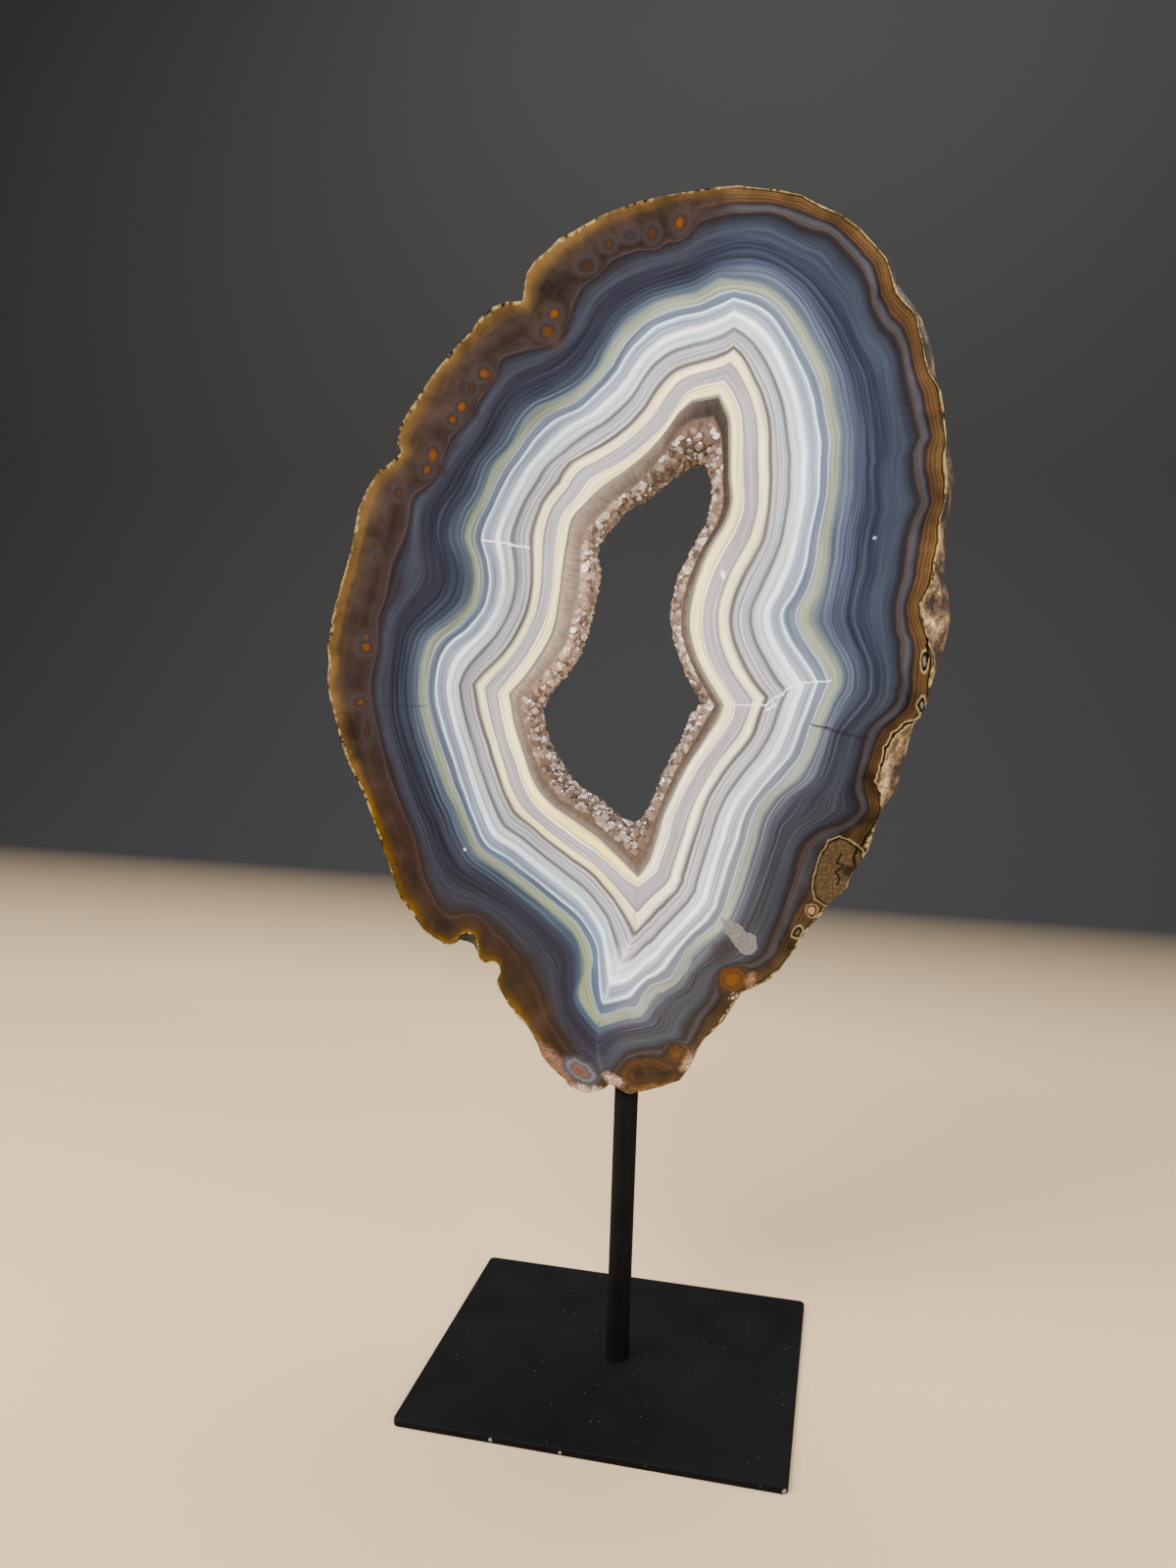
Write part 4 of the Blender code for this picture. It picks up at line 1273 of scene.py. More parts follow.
@dataclass(frozen=True, kw_only=True)
class Vein(Mark):
    """A thin line through the stone, along its points as x and z. Millimetres."""

    points: tuple[Span, ...]

    def depth(self, tree: Tree, place: Socket) -> Socket:
        """Measure from the line.

        Args:
            tree: The material's node tree.
            place: Object coordinates in millimetres.

        Returns:
            The distance from the line, in millimetres.
        """
        nearest = None
        for (x, z), (end_x, end_z) in zip(self.points, self.points[1:]):
            half = math.hypot(end_x - x, end_z - z) / 2
            local = add_node(tree, "Mapping", {"vector_type": "TEXTURE"}, {
                "Vector": place, "Location": ((x + end_x) / 2, 0, (z + end_z) / 2),
                "Rotation": (0, -math.atan2(end_z - z, end_x - x), 0),
            })[0]
            local = add_node(tree, "VectorMath", {"operation": "ABSOLUTE"}, (local,))[0]
            local = add_node(tree, "VectorMath", {"operation": "SUBTRACT"}, (local, (half, 1 / MM, 0)))[0]
            local = add_node(tree, "VectorMath", {"operation": "MAXIMUM"}, (local, (0, 0, 0)))[0]
            reach = add_node(tree, "VectorMath", {"operation": "LENGTH"}, (local,))["Value"]
            if nearest is not None:
                reach = add_node(tree, "Math", {"operation": "MINIMUM"}, (reach, nearest))[0]
            nearest = reach
        return nearest


# The ring agates in the rind, from the top left down, then those along the top.
EYES = tuple(
    Eye(x=x, z=z, wide=wide, high=high, push=push, layers=EYE_RINGS + ((*EYE_CORE, core),))
    for x, z, wide, high, push, core in (
        (-31, 350.7, 1.7, 1.7, 5.4, "#5c3410"), (-33, 345.3, 2.2, 2.0, 5.4, "#45290f"),
        (-53.5, 332.7, 1.9, 1.6, 4.1, "#5c3410"), (-61, 322.2, 1.7, 1.7, 3.4, "#5c3410"),
        (-64, 318.5, 1.4, 1.3, 2.7, "#54300e"), (-57.6, 328, 1.0, 1.4, 1.4, "#3c2310"),
        (-70.5, 307, 1.8, 2.5, 2.7, "#54300e"), (-72.5, 302.5, 1.5, 1.6, 2.2, "#54300e"),
        (8, 376.7, 1.7, 1.9, 6.1, "#5c3410"), (-0.5, 373.8, 1.4, 1.8, 4.1, "#3c2310"),
        (-7.5, 373.5, 1.5, 1.3, 3.4, "#27252a"), (-14, 371, 1.3, 1.3, 3.4, "#3c2310"),
        (-21, 365, 2.2, 1.8, 4.1, "#2c1c14"), (-82, 295, 1.1, 1.3, 1.4, "#45290f"),
        (-90, 277, 0.7, 0.9, 0.7, "#54300e"), (-89.3, 274.2, 0.8, 0.8, 0.7, "#54300e"),
        (-93, 247.6, 1.3, 1.0, 1.1, "#54300e"), (-93.2, 244.2, 1.9, 1.6, 1.6, "#54300e"),
        (-95, 225.7, 1.6, 1.2, 1.1, "#54300e"), (-92.3, 216.5, 0.8, 2.2, 0.8, "#3c2310"),
    )
)

# A thin pale line with a black one inside it, as round many bits of rock in the rind.
BLACK_LINED = ((0.65, 0.2, "#7d6a44"), (0.3, 0.12, "#0a0706"))

LEFT_MARKS = (
    Vein(points=((-90, 224.6), (-81, 225), (-71, 225.2)), layers=((0.1, 0.4, "#1f1c22"),)),
    # Brown plumes that rise from the eyes into the slate.
    Oval(x=-67.8, z=302.2, wide=2.6, high=1.3, turn=-40, layers=((-0.2, 1.3, "#2a1c17"),), cover=0.75),
    Oval(x=-57.0, z=321.0, wide=2.4, high=1.2, turn=-40, layers=((-0.2, 1.3, "#231a19"),), cover=0.75),
    Oval(x=-50.3, z=331.8, wide=2.6, high=1.4, turn=-40, layers=((-0.2, 1.3, "#33221a"),), cover=0.75),
    Oval(x=-30.6, z=342.6, wide=3.0, high=2.0, turn=-45, layers=((-0.2, 1.6, "#3a2a24"),), cover=0.7),
)

# A healed crack, drawn white: partly the crack itself, partly painted reflection of light off it.
BAND_MARKS = LEFT_MARKS + (
    Vein(points=((-53, 280.3), (-46, 279.2), (-37, 278)), layers=((0.25, 0.25, "#e6e6ea"),)),
    # Painted highlights: two small glints of the lamps on the polish, then a small pale spot.
    Oval(x=25.9, z=270.4, wide=0.7, high=1.3, turn=20, layers=((0.0, 0.3, "#efefef"),)),
    Oval(x=71.6, z=282.5, wide=0.5, high=0.5, layers=((0.0, 0.3, "#8d8f98"),)),
    Oval(x=-57, z=177.5, wide=0.45, high=0.45, layers=((0.0, 0.25, "#c8c8c8"),)),
)

# The amber lobes at the foot, which the bands run round. Each is ringed like the rind.
FOOT_LOBES = (
    Eye(x=34.6, z=141.2, wide=5.0, high=4.2, turn=25, push=13.0, reach=0.5, layers=(
        (0.3, 0.6, "#2c1c12"), (-0.6, 0.5, "#48290c"), (-1.5, 0.4, "#341d0c"), (-2.1, 1.0, "#5a3208"),
    )),
    Eye(x=17.2, z=114.4, wide=3.2, high=3.4, push=11.0, reach=0.7, layers=(
        (0.2, 0.5, "#2a1a10"), (-0.7, 0.4, "#4a2b0f"), (-1.3, 0.4, "#33200f"), (-1.9, 0.7, "#52300e"),
    )),
    Eye(x=8.6, z=106.0, wide=10.4, high=6.2, turn=6, push=13.0, reach=0.3, layers=(
        (0.2, 0.6, "#2a1b11"), (-0.7, 0.5, "#41270c"), (-1.5, 0.4, "#281a0c"), (-2.1, 0.5, "#3a220b"),
        (-2.9, 0.4, "#21150b"), (-3.6, 0.8, "#2f1e0c"),
    )),
)

FOOT_MARKS = (
    # The dark corner line that the stripes turn on, and its white glare.
    Vein(points=((2.3, 172), (1.7, 155)), layers=((0.1, 0.35, "#6e6e70"),)),
    Vein(points=((0.2, 150), (-3.5, 141), (-7.7, 131)), layers=((0.15, 0.8, "#eef0f0"),), cover=0.75),
    Oval(x=-2.2, z=144, wide=3.2, high=8, turn=-24, layers=((-1.6, 3.0, "#f4f4f4"),), cover=0.35),
    Vein(points=((-7.9, 130), (-9.2, 121), (-9.3, 115)), layers=((0.05, 0.45, "#3e434e"),), cover=0.8),
    Vein(points=((-9.2, 114), (-8.0, 106)), layers=((0.2, 1.4, "#565860"),), cover=0.4),
    # The mauve shade under the angular flake, and the flake.
    Oval(x=31, z=151, wide=6.5, high=4.2, turn=60, layers=((-1.0, 2.6, "#262124"),), cover=0.8),
    Inset(
        corners=(
            (28.3, 163.4), (33, 160.6), (38, 159.2), (41.2, 156), (42, 151.2), (40, 150), (36.5, 150.6),
            (32.2, 156.6),
        ),
        layers=((0.1, 0.2, "#7a7673"), (-0.25, 0.2, "#56524f")), speck="#77726e", cover=0.66,
    ),
    # The pale spot and the bright crumbs on the orange lobe's outer side.
    Oval(x=40.4, z=141.6, wide=1.3, high=2.2, turn=-20, layers=((0.0, 1.0, "#6a4a34"),), speck="#8a6c50"),
    Oval(x=34.9, z=135.6, wide=1.6, high=0.9, turn=35, layers=((0.0, 0.5, "#3a2a1c"),), speck="#b8a58a"),
    # The dark olive in the large lobe, its brighter lower edge, and the pale rock at its end.
    Oval(x=13.6, z=107.4, wide=5.0, high=0.9, turn=12, layers=((0.0, 0.9, "#140f0a"),), cover=0.9),
    Oval(x=4.6, z=106.8, wide=1.9, high=1.2, turn=-20, layers=((0.0, 0.8, "#120d09"),), cover=0.9),
    Oval(
        x=10.5, z=102.2, wide=7.5, high=1.2, turn=14, layers=((0.0, 1.0, "#5c3a1a"),), speck="#7a5a34",
        cover=0.8,
    ),
    Oval(x=21.0, z=111.8, wide=1.6, high=3.2, turn=-25, layers=((0.0, 0.9, "#6f543c"),), speck="#a48c6c"),
    # The dark red of the rind under the notch.
    Oval(x=-38, z=135.5, wide=4.4, high=8.5, turn=-38, layers=((-1.0, 3.2, "#1c0f0b"),)),
    # The pale pink edge at the foot's left, its ringed pink heart, and the cream between the lobes.
    Oval(x=-30, z=121, wide=2.6, high=9, turn=-38, layers=((-0.5, 2.2, "#33221a"),), cover=0.7),
    Oval(
        x=-24.2, z=107.6, wide=8.0, high=2.1, turn=-43, layers=((0.0, 1.6, "#5f4435"),), speck="#80604e",
        cover=0.9,
    ),
    Oval(x=-13.0, z=98.9, wide=6.6, high=1.5, turn=-3, layers=((0.0, 1.0, "#7e695b"),), speck="#b3a394"),
    Oval(x=-14.8, z=105.2, wide=5.0, high=2.8, turn=-28, layers=(
        (1.2, 1.0, "#38393f"), (0.1, 0.4, "#5c595c"), (-0.5, 0.35, "#3b393f"), (-1.1, 0.5, "#5c453d"),
        (-1.7, 0.5, "#5e3626"),
    )),
    Oval(x=-3.4, z=103.4, wide=3.4, high=1.7, turn=-24, layers=((0.0, 0.9, "#80634e"),), speck="#b49a86"),
)

EDGE_MARKS = (
    # The piece of tan rock at the lower right, its black line, and the hook inside it.
    Inset(
        corners=(
            (60, 170), (59, 175), (60.5, 183), (63, 188), (66, 189.3), (69, 188.6), (72.5, 186), (74, 178),
            (67, 168.5), (62.8, 168.5),
        ),
        layers=((0.95, 0.15, "#6b5a38"), (0.45, 0.12, "#0a0706"), (-0.15, 0.12, "#382a1a")), speck="#4d3d28",
    ),
    Oval(x=69.5, z=179.3, wide=2.2, high=1.8, layers=((0.0, 0.6, "#1c1409"),)),
    Vein(
        points=((66.6, 184.5), (65.4, 181.6), (67.6, 180.9), (65.2, 178.6), (66.7, 176.3), (66, 174.8)),
        layers=((0.32, 0.12, "#0a0706"),),
    ),
    Vein(points=((71.8, 186.5), (70.5, 183.5), (71.5, 180.5)), layers=((0.5, 0.2, "#0a0706"),)),
    # The pocket of beige rock behind its black hook at the right.
    Inset(
        corners=((77.6, 205.5), (77.2, 211), (79.4, 220.5), (83.5, 225.5), (89, 228.5), (90, 222), (80, 202)),
        layers=((0.0, 0.2, "#6f583a"),), speck="#43341f",
    ),
    Vein(
        points=((78, 205.6), (76.6, 208), (77.4, 213), (78.7, 219), (80.6, 223), (84.2, 226.4), (87.8, 227.6)),
        layers=((0.85, 0.2, "#7d6a44"), (0.38, 0.14, "#0a0706")),
    ),
    Oval(x=88.4, z=245.6, wide=0.9, high=2.3, layers=BLACK_LINED + ((-0.3, 0.2, "#5f5344"),)),
    Oval(x=88.4, z=232.3, wide=0.8, high=1.6, layers=BLACK_LINED + ((-0.3, 0.2, "#5f5344"),)),
    Oval(x=58.4, z=165.9, wide=1.5, high=1.6, layers=BLACK_LINED + ((-0.3, 0.2, "#8a6046"),)),
    Oval(x=54.6, z=158.3, wide=1.0, high=1.5, turn=-30, layers=BLACK_LINED + ((-0.3, 0.2, "#463824"),)),
    Vein(points=((89.8, 254), (88.6, 250.5), (89.5, 247)), layers=((0.4, 0.2, "#0a0706"),)),
    # Healed cracks across the bands. The white line is partly the crack, partly painted reflection off it.
    Vein(
        points=((27.5, 229.9), (41, 230.5), (50, 237), (60.5, 238.8)),
        layers=((0.22, 0.25, "#f2f2f4"),), cover=0.9,
    ),
    # A painted highlight: a short glint of light on the crack.
    Vein(points=((41.5, 229), (44, 230.6)), layers=((0.4, 0.3, "#efefef"),)),
    Vein(points=((55.5, 225), (60.5, 223.8)), layers=((0.35, 0.5, "#3b251a"),)),
    Vein(points=((60.5, 223.8), (67.5, 222), (73, 221.2)), layers=((0.2, 1.0, "#1f1718"),)),
)


@dataclass(frozen=True)
class PolishedAgate:
    """Agate, sawn and polished. Millimetres.

    It is chalcedony, a dense quartz laid down in bands. The polish is as smooth as glass, so it
    deepens the bands' colours and keeps a low, clear gloss. A field in _bands is the two places across
    the bands between which a look comes in or goes, and one in _heights is the two heights.
    """

    name: str
    eyes: tuple[Eye, ...] = ()
    marks: tuple[Mark, ...] = ()
    ior: float = 1.54
    roughness: float = 0.1
    specular: float = 0.25
    mark_wander: float = 1.6
    wander_scale: float = 0.45
    side_slant: float = -0.107
    side_middle: float = -18.2
    side_width: float = 9.0
    deep_heights: Span = (130.0, 210.0)
    low_depth: float = 1.6
    grey_heights: Span = (200.0, 255.0)
    grey_bands: Span = (50.0, 57.0)
    low_grey: float = 0.6
    wave_length: float = 9.0
    wave_bands: Span = (44.0, 58.0)
    wave_depths: Span = (0.5, 1.7)
    line_spacing: float = 0.8
    line_drift: float = 0.02
    line_bands: Span = (31.0, 38.0)
    line_depths: Span = (0.23, 0.36)
    line_end_bands: Span = (56.0, 45.0)
    line_end: float = 0.4
    cloud_size: float = 30.0
    cloud_depth: float = 0.16
    rind_bands: Span = (56.5, 60.0)
    rind_clouds: float = 0.95
    rind_cloud_scale: float = 0.09
    rind_heights: Span = (200.0, 260.0)
    low_rinds: Span = (-0.02, -0.3)
    slate_bands: Span = (38.0, 50.0)
    left_heights: Span = (140.0, 200.0)
    low_left: float = -0.3
    right_heights: Span = (200.0, 262.0)
    foot_heights: Span = (130.0, 160.0)
    low_right: float = -0.34
    shade_reach: Span = (-35.0, 5.0)
    shade_bands: Span = (5.0, 18.0)
    shade_end_bands: Span = (33.0, 37.0)
    left_shade: float = -0.3
    fibre_bands: Span = (59.5, 61.5)
    fibre_scale: float = 0.6
    fibre_stretch: float = 0.15
    fibre_depth: float = 0.06
    haze_size: float = 10.0
    haze_noise: Span = (0.48, 0.68)
    haze_bands: Span = (48.0, 55.5)
    haze_end_bands: Span = (57.4, 56.8)
    haze_shares: Span = (0.6, 0.1)
    haze_colour: str = "#241815"
    crumb_bands: Span = (64.4, 64.9)
    crumb_scale: float = 0.55
    crumbs: tuple[tuple[float, float, str], ...] = ((0.52, 0.6, "#8f7b4e"), (0.46, 0.4, "#0c0907"))

    def make(self) -> bpy.types.Material:
        """Build the material.

        Returns:
            The material for the cut faces.
        """
        material, tree, shader = new_material(self.name)
        place = object_place(tree)
        growth = add_node(tree, "UVMap", {"uv_map": GROWTH_UV})[0]
        growth = add_node(tree, "VectorMath", {"operation": "SCALE"}, {0: growth, "Scale": 1 / MM})[0]
        around, across, _ = add_node(tree, "SeparateXYZ", None, (growth,))
        bent = add_node(tree, "TexNoise", None, {
            "Vector": place, "Scale": self.wander_scale, "Detail": 2.0,
        })["Color"]
        bent = add_node(tree, "VectorMath", {"operation": "SUBTRACT"}, (bent, (0.5, 0.5, 0.5)))[0]
        bent = add_node(tree, "VectorMath", {"operation": "MULTIPLY_ADD"}, (
            bent, (self.mark_wander, 0, self.mark_wander), place,
        ))[0]
        side = add_node(tree, "VectorMath", {"operation": "DOT_PRODUCT"}, (
            place, (1, 0, self.side_slant),
        ))["Value"]
        side = add_node(tree, "MapRange", SMOOTH, (
            side, self.side_middle - self.side_width, self.side_middle + self.side_width,
        ))[0]
        band = self._waved(tree, place, across)
        depths = [eye.depth(tree, bent) for eye in self.eyes]
        for eye, depth in zip(self.eyes, depths):
            band = eye.bend(tree, depth, band)
        colour = self._band_colour(tree, band, side)
        colour = self._haze(tree, colour, place, band, side)
        value = self._tone(tree, place, around, band, side)
        height = add_node(tree, "SeparateXYZ", None, (place,))[2]
        deeper = add_node(tree, "MapRange", None, (height, *self.deep_heights, self.low_depth, 1.0))[0]
        greyer = add_node(tree, "MapRange", None, (height, *self.grey_heights, self.low_grey, 1.0))[0]
        greyer = add_node(tree, "MapRange", None, (band, *self.grey_bands, greyer, 1.0))[0]
        deeper = add_node(tree, "MapRange", None, (side, 0.0, 1.0, deeper, greyer))[0]
        colour = add_node(tree, "HueSaturation", None, {
            "Color": colour, "Saturation": deeper, "Value": value,
        })[0]
        colour = self._crumbs(tree, colour, place, band)
        depths += [mark.depth(tree, bent) for mark in self.marks]
        for mark, depth in zip(self.eyes + self.marks, depths):
            colour = mark.lay(tree, bent, depth, colour)
        tree.links.new(colour, shader.inputs["Base Color"])
        shader.inputs["IOR"].default_value = self.ior
        shader.inputs["Roughness"].default_value = self.roughness
        shader.inputs["Specular IOR Level"].default_value = self.specular
        return material

    def _waved(self, tree: Tree, place: Socket, band: Socket) -> Socket:
        """Let the bands run unevenly, the more the nearer they are to the rind.

        Args:
            tree: The material's node tree.
            place: Object coordinates in millimetres.
            band: The place across the bands.

        Returns:
            The place across the uneven bands.
        """
        wave = add_node(tree, "TexNoise", None, {
            "Vector": place, "Scale": 1 / self.wave_length, "Detail": 2.0, "Roughness": 0.55,
        })["Fac"]
        wave = add_node(tree, "Math", {"operation": "SUBTRACT"}, (wave, 0.5))[0]
        depth = add_node(tree, "MapRange", None, (band, *self.wave_bands, *self.wave_depths))[0]
        return add_node(tree, "Math", {"operation": "MULTIPLY_ADD"}, (wave, depth, band))[0]

    @staticmethod
    def _ramp(tree: Tree, band: Socket, bands: Sequence[tuple[float, str]]) -> Socket:
        """Colour a run of bands.

        Args:
            tree: The material's node tree.
            band: The place across the bands.
            bands: The run's (place, colour) pairs.

        Returns:
            The colour.
        """
        low, high = bands[0][0], bands[-1][0]
        share = add_node(tree, "MapRange", None, (band, low, high))[0]
        stops = [((at - low) / (high - low), code) for at, code in bands]
        return add_node(tree, "ValToRGB", None, (share,), stops)[0]

    def _band_colour(self, tree: Tree, band: Socket, side: Socket) -> Socket:
        """Join the runs of bands into one colour from the hollow to the skin.

        Args:
            tree: The material's node tree.
            band: The place across the bands.
            side: 0 on the left and 1 on the right.

        Returns:
            The colour.
        """
        colour = self._ramp(tree, band, CREAM_BANDS)
        for run in (WHITE_BANDS, NAVY_BANDS, RIND_BANDS):
            if run is WHITE_BANDS:
                outer = self._ramp(tree, band, run)
                start = run[0][0]
            else:
                left, right = (self._ramp(tree, band, run[half]) for half in (Side.LEFT, Side.RIGHT))
                outer = add_node(tree, "Mix", COLOURS, {0: side, 6: left, 7: right})[2]
                start = run[Side.LEFT][0][0]
            past = add_node(tree, "Math", {"operation": "GREATER_THAN"}, (band, start))[0]
            colour = add_node(tree, "Mix", COLOURS, {0: past, 6: colour, 7: outer})[2]
        return colour

    def _haze(self, tree: Tree, colour: Socket, place: Socket, band: Socket, side: Socket) -> Socket:
        """Let the rind's brown seep into the slate bands beside it, most of all on the left.

        Args:
            tree: The material's node tree.
            colour: The bands' colour.
            place: Object coordinates in millimetres.
            band: The place across the bands.
            side: 0 on the left and 1 on the right.

        Returns:
            The colour with the haze in it.
        """
        haze = add_node(tree, "TexNoise", None, {
            "Vector": place, "Scale": 1 / self.haze_size, "Detail": 2.0,
        })["Fac"]
        haze = add_node(tree, "MapRange", None, (haze, *self.haze_noise))[0]
        near = add_node(tree, "MapRange", SMOOTH, (band, *self.haze_bands))[0]
        past = add_node(tree, "MapRange", None, (band, *self.haze_end_bands))[0]
        left = add_node(tree, "MapRange", None, (side, 0.0, 1.0, *self.haze_shares))[0]
        for part in (near, past, left):
            haze = add_node(tree, "Math", TIMES, (haze, part))[0]
        return add_node(tree, "Mix", COLOURS, {0: haze, 6: colour, 7: linear(self.haze_colour)})[2]

    @staticmethod
    def _swing(tree: Tree, place: Socket, scale: float, detail: float, depth: float | Socket) -> Socket:
        """Swing a value either way of 0 with a noise.

        Args:
            tree: The material's node tree.
            place: The noise's coordinates.
            scale: The noise's scale.
            detail: The noise's detail.
            depth: How far the value swings.

        Returns:
            The value.
        """
        swing = add_node(tree, "TexNoise", None, {"Vector": place, "Scale": scale, "Detail": detail})["Fac"]
        swing = add_node(tree, "MapRange", None, (swing, *NOISE_RANGE, -1.0, 1.0))[0]
        return add_node(tree, "Math", TIMES, (swing, depth))[0]

    def _tone(self, tree: Tree, place: Socket, around: Socket, band: Socket, side: Socket) -> Socket:
        """Give how bright each spot is: fine growth lines, slow clouds, shaded parts and fibres.

        Args:
            tree: The material's node tree.
            place: Object coordinates in millimetres.
            around: The place round the stone, in millimetres.
            band: The place across the bands.
            side: 0 on the left and 1 on the right.

        Returns:
            The value to multiply the colour by.
        """
        x, _, z = add_node(tree, "SeparateXYZ", None, (place,))
        slow = [add_node(tree, "Math", TIMES, (axis, self.line_drift))[0] for axis in (x, z)]
        step = add_node(tree, "Math", {"operation": "DIVIDE"}, (band, self.line_spacing * 2))[0]
        lines = add_node(tree, "CombineXYZ", None, (step, *slow))[0]
        depth = add_node(tree, "MapRange", None, (band, *self.line_bands, *self.line_depths))[0]
        fade = add_node(tree, "MapRange", None, (band, *self.line_end_bands, self.line_end, 1.0))[0]
        depth = add_node(tree, "Math", TIMES, (depth, fade))[0]
        lines = self._swing(tree, lines, 2.0, 1.0, depth)
        cloud = self._swing(tree, place, 1 / self.cloud_size, 3.0, self.cloud_depth / 2)
        rind = add_node(tree, "MapRange", None, (band, *self.rind_bands))[0]
        depth = add_node(tree, "Math", TIMES, (rind, self.rind_clouds / 2))[0]
        blotch = self._swing(tree, place, self.rind_cloud_scale, 3.0, depth)
        low = add_node(tree, "MapRange", None, (side, 0.0, 1.0, *self.low_rinds))[0]
        low = add_node(tree, "MapRange", None, (z, *self.rind_heights, low, 0.0))[0]
        low = add_node(tree, "Math", TIMES, (low, rind))[0]
        left = add_node(tree, "MapRange", None, (z, *self.left_heights, self.low_left, 0.0))[0]
        right = add_node(tree, "MapRange", None, (z, *self.right_heights, self.low_right, 0.0))[0]
        right = add_node(tree, "MapRange", None, (z, *self.foot_heights, 0.0, right))[0]
        foot = add_node(tree, "MapRange", None, (side, 0.0, 1.0, left, right))[0]
        foot = add_node(tree, "MapRange", None, (band, *self.slate_bands, 0.0, foot))[0]
        shade = add_node(tree, "MapRange", None, (x, *self.shade_reach, self.left_shade, 0.0))[0]
        shade = add_node(tree, "MapRange", None, (band, *self.shade_bands, 0.0, shade))[0]
        shade = add_node(tree, "MapRange", None, (band, *self.shade_end_bands, shade, 0.0))[0]
        across = add_node(tree, "Math", TIMES, (band, self.fibre_stretch))[0]
        fibre = add_node(tree, "CombineXYZ", None, (around, across))[0]
        zone = add_node(tree, "MapRange", None, (band, *self.fibre_bands))[0]
        left = add_node(tree, "MapRange", None, (side, 0.0, 1.0, self.fibre_depth, 0.0))[0]
        depth = add_node(tree, "Math", TIMES, (zone, left))[0]
        fibre = self._swing(tree, fibre, self.fibre_scale, 1.0, depth)
        value = 1.0
        for part in (lines, cloud, blotch, low, foot, shade, fibre):
            value = add_node(tree, "Math", {"operation": "ADD"}, (part, value))[0]
        return value

    def _crumbs(self, tree: Tree, colour: Socket, place: Socket, band: Socket) -> Socket:
        """Break the very edge into pale and black crumbs, where the saw met the rough skin.

        Args:
            tree: The material's node tree.
            colour: The stone's colour.
            place: Object coordinates in millimetres.
            band: The place across the bands.

        Returns:
            The colour with the crumbs in it.
        """
        edge = add_node(tree, "MapRange", None, (band, *self.crumb_bands))[0]
        crumb = add_node(tree, "TexNoise", None, {
            "Vector": place, "Scale": self.crumb_scale, "Detail": 2.0,
        })["Fac"]
        for start, full, code in self.crumbs:
            share = add_node(tree, "MapRange", None, (crumb, start, full))[0]
            share = add_node(tree, "Math", TIMES, (share, edge))[0]
            colour = add_node(tree, "Mix", COLOURS, {0: share, 6: colour, 7: linear(code)})[2]
        return colour


@dataclass(frozen=True)
class StoneSkin:
    """The nodule's weathered outside: pitted, dull limonite and chalcedony, as it came from the ground."""

    roughness: float = 0.82
    patch_size: float = 9.0
    grain_size: float = 0.8
    grain_depth: float = 0.4
    grain_noise: Span = (0.32, 0.68)
    grain_light_and_shade: Span = (0.25, 1.8)
    dark_heights: Span = (258.0, 285.0)
    dark_shift: float = 0.11
    notch: tuple[float, float, float] = (-55.0, 0.0, 147.0)
    notch_shade_reach: Span = (12.0, 7.5)

    def make(self) -> bpy.types.Material:
        """Build the material.

        Returns:
            The material for the slice's rim.
        """
        material, tree, shader = new_material("weathered_stone_skin")
        place = object_place(tree)
        blotch = add_node(tree, "TexNoise", None, {
            "Vector": place, "Scale": 1 / self.patch_size, "Detail": 5.0, "Roughness": 0.65,
        })["Fac"]
        height = add_node(tree, "SeparateXYZ", None, (place,))[2]
        shift = add_node(tree, "MapRange", None, (height, *self.dark_heights, 0.0, self.dark_shift))[0]
        blotch = add_node(tree, "Math", {"operation": "SUBTRACT"}, (blotch, shift))[0]
        colour = add_node(tree, "ValToRGB", None, (blotch,), (
            (0.3, "#0c0906"), (0.41, "#2a1e14"), (0.48, "#5c462d"), (0.56, "#8c704c"), (0.67, "#d0b687"),
        ))[0]
        # Painted shade: the skin goes near black inside the notch's hollow.
        reach = add_node(tree, "VectorMath", {"operation": "DISTANCE"}, (place, self.notch))["Value"]
        share = add_node(tree, "MapRange", None, (reach, *self.notch_shade_reach))[0]
        colour = add_node(tree, "Mix", COLOURS, {0: share, 6: colour, 7: linear("#0a0807")})[2]
        grain = add_node(tree, "TexNoise", None, {
            "Vector": place, "Scale": 1 / self.grain_size, "Detail": 4.0, "Roughness": 0.7,
        })["Fac"]
        # The grain that makes the bump also darkens its pits and pales its tops: partly the grains' own
        # colour, partly painted shade and painted highlights.
        shade = add_node(tree, "MapRange", None, (grain, *self.grain_noise, *self.grain_light_and_shade))[0]
        colour = add_node(tree, "HueSaturation", None, {"Color": colour, "Value": shade})[0]
        bump = add_node(tree, "Bump", None, {
            "Height": grain, "Distance": self.grain_depth * MM, "Strength": 0.9,
        })[0]
        tree.links.new(colour, shader.inputs["Base Color"])
        tree.links.new(bump, shader.inputs["Normal"])
        shader.inputs["Roughness"].default_value = self.roughness
        return material


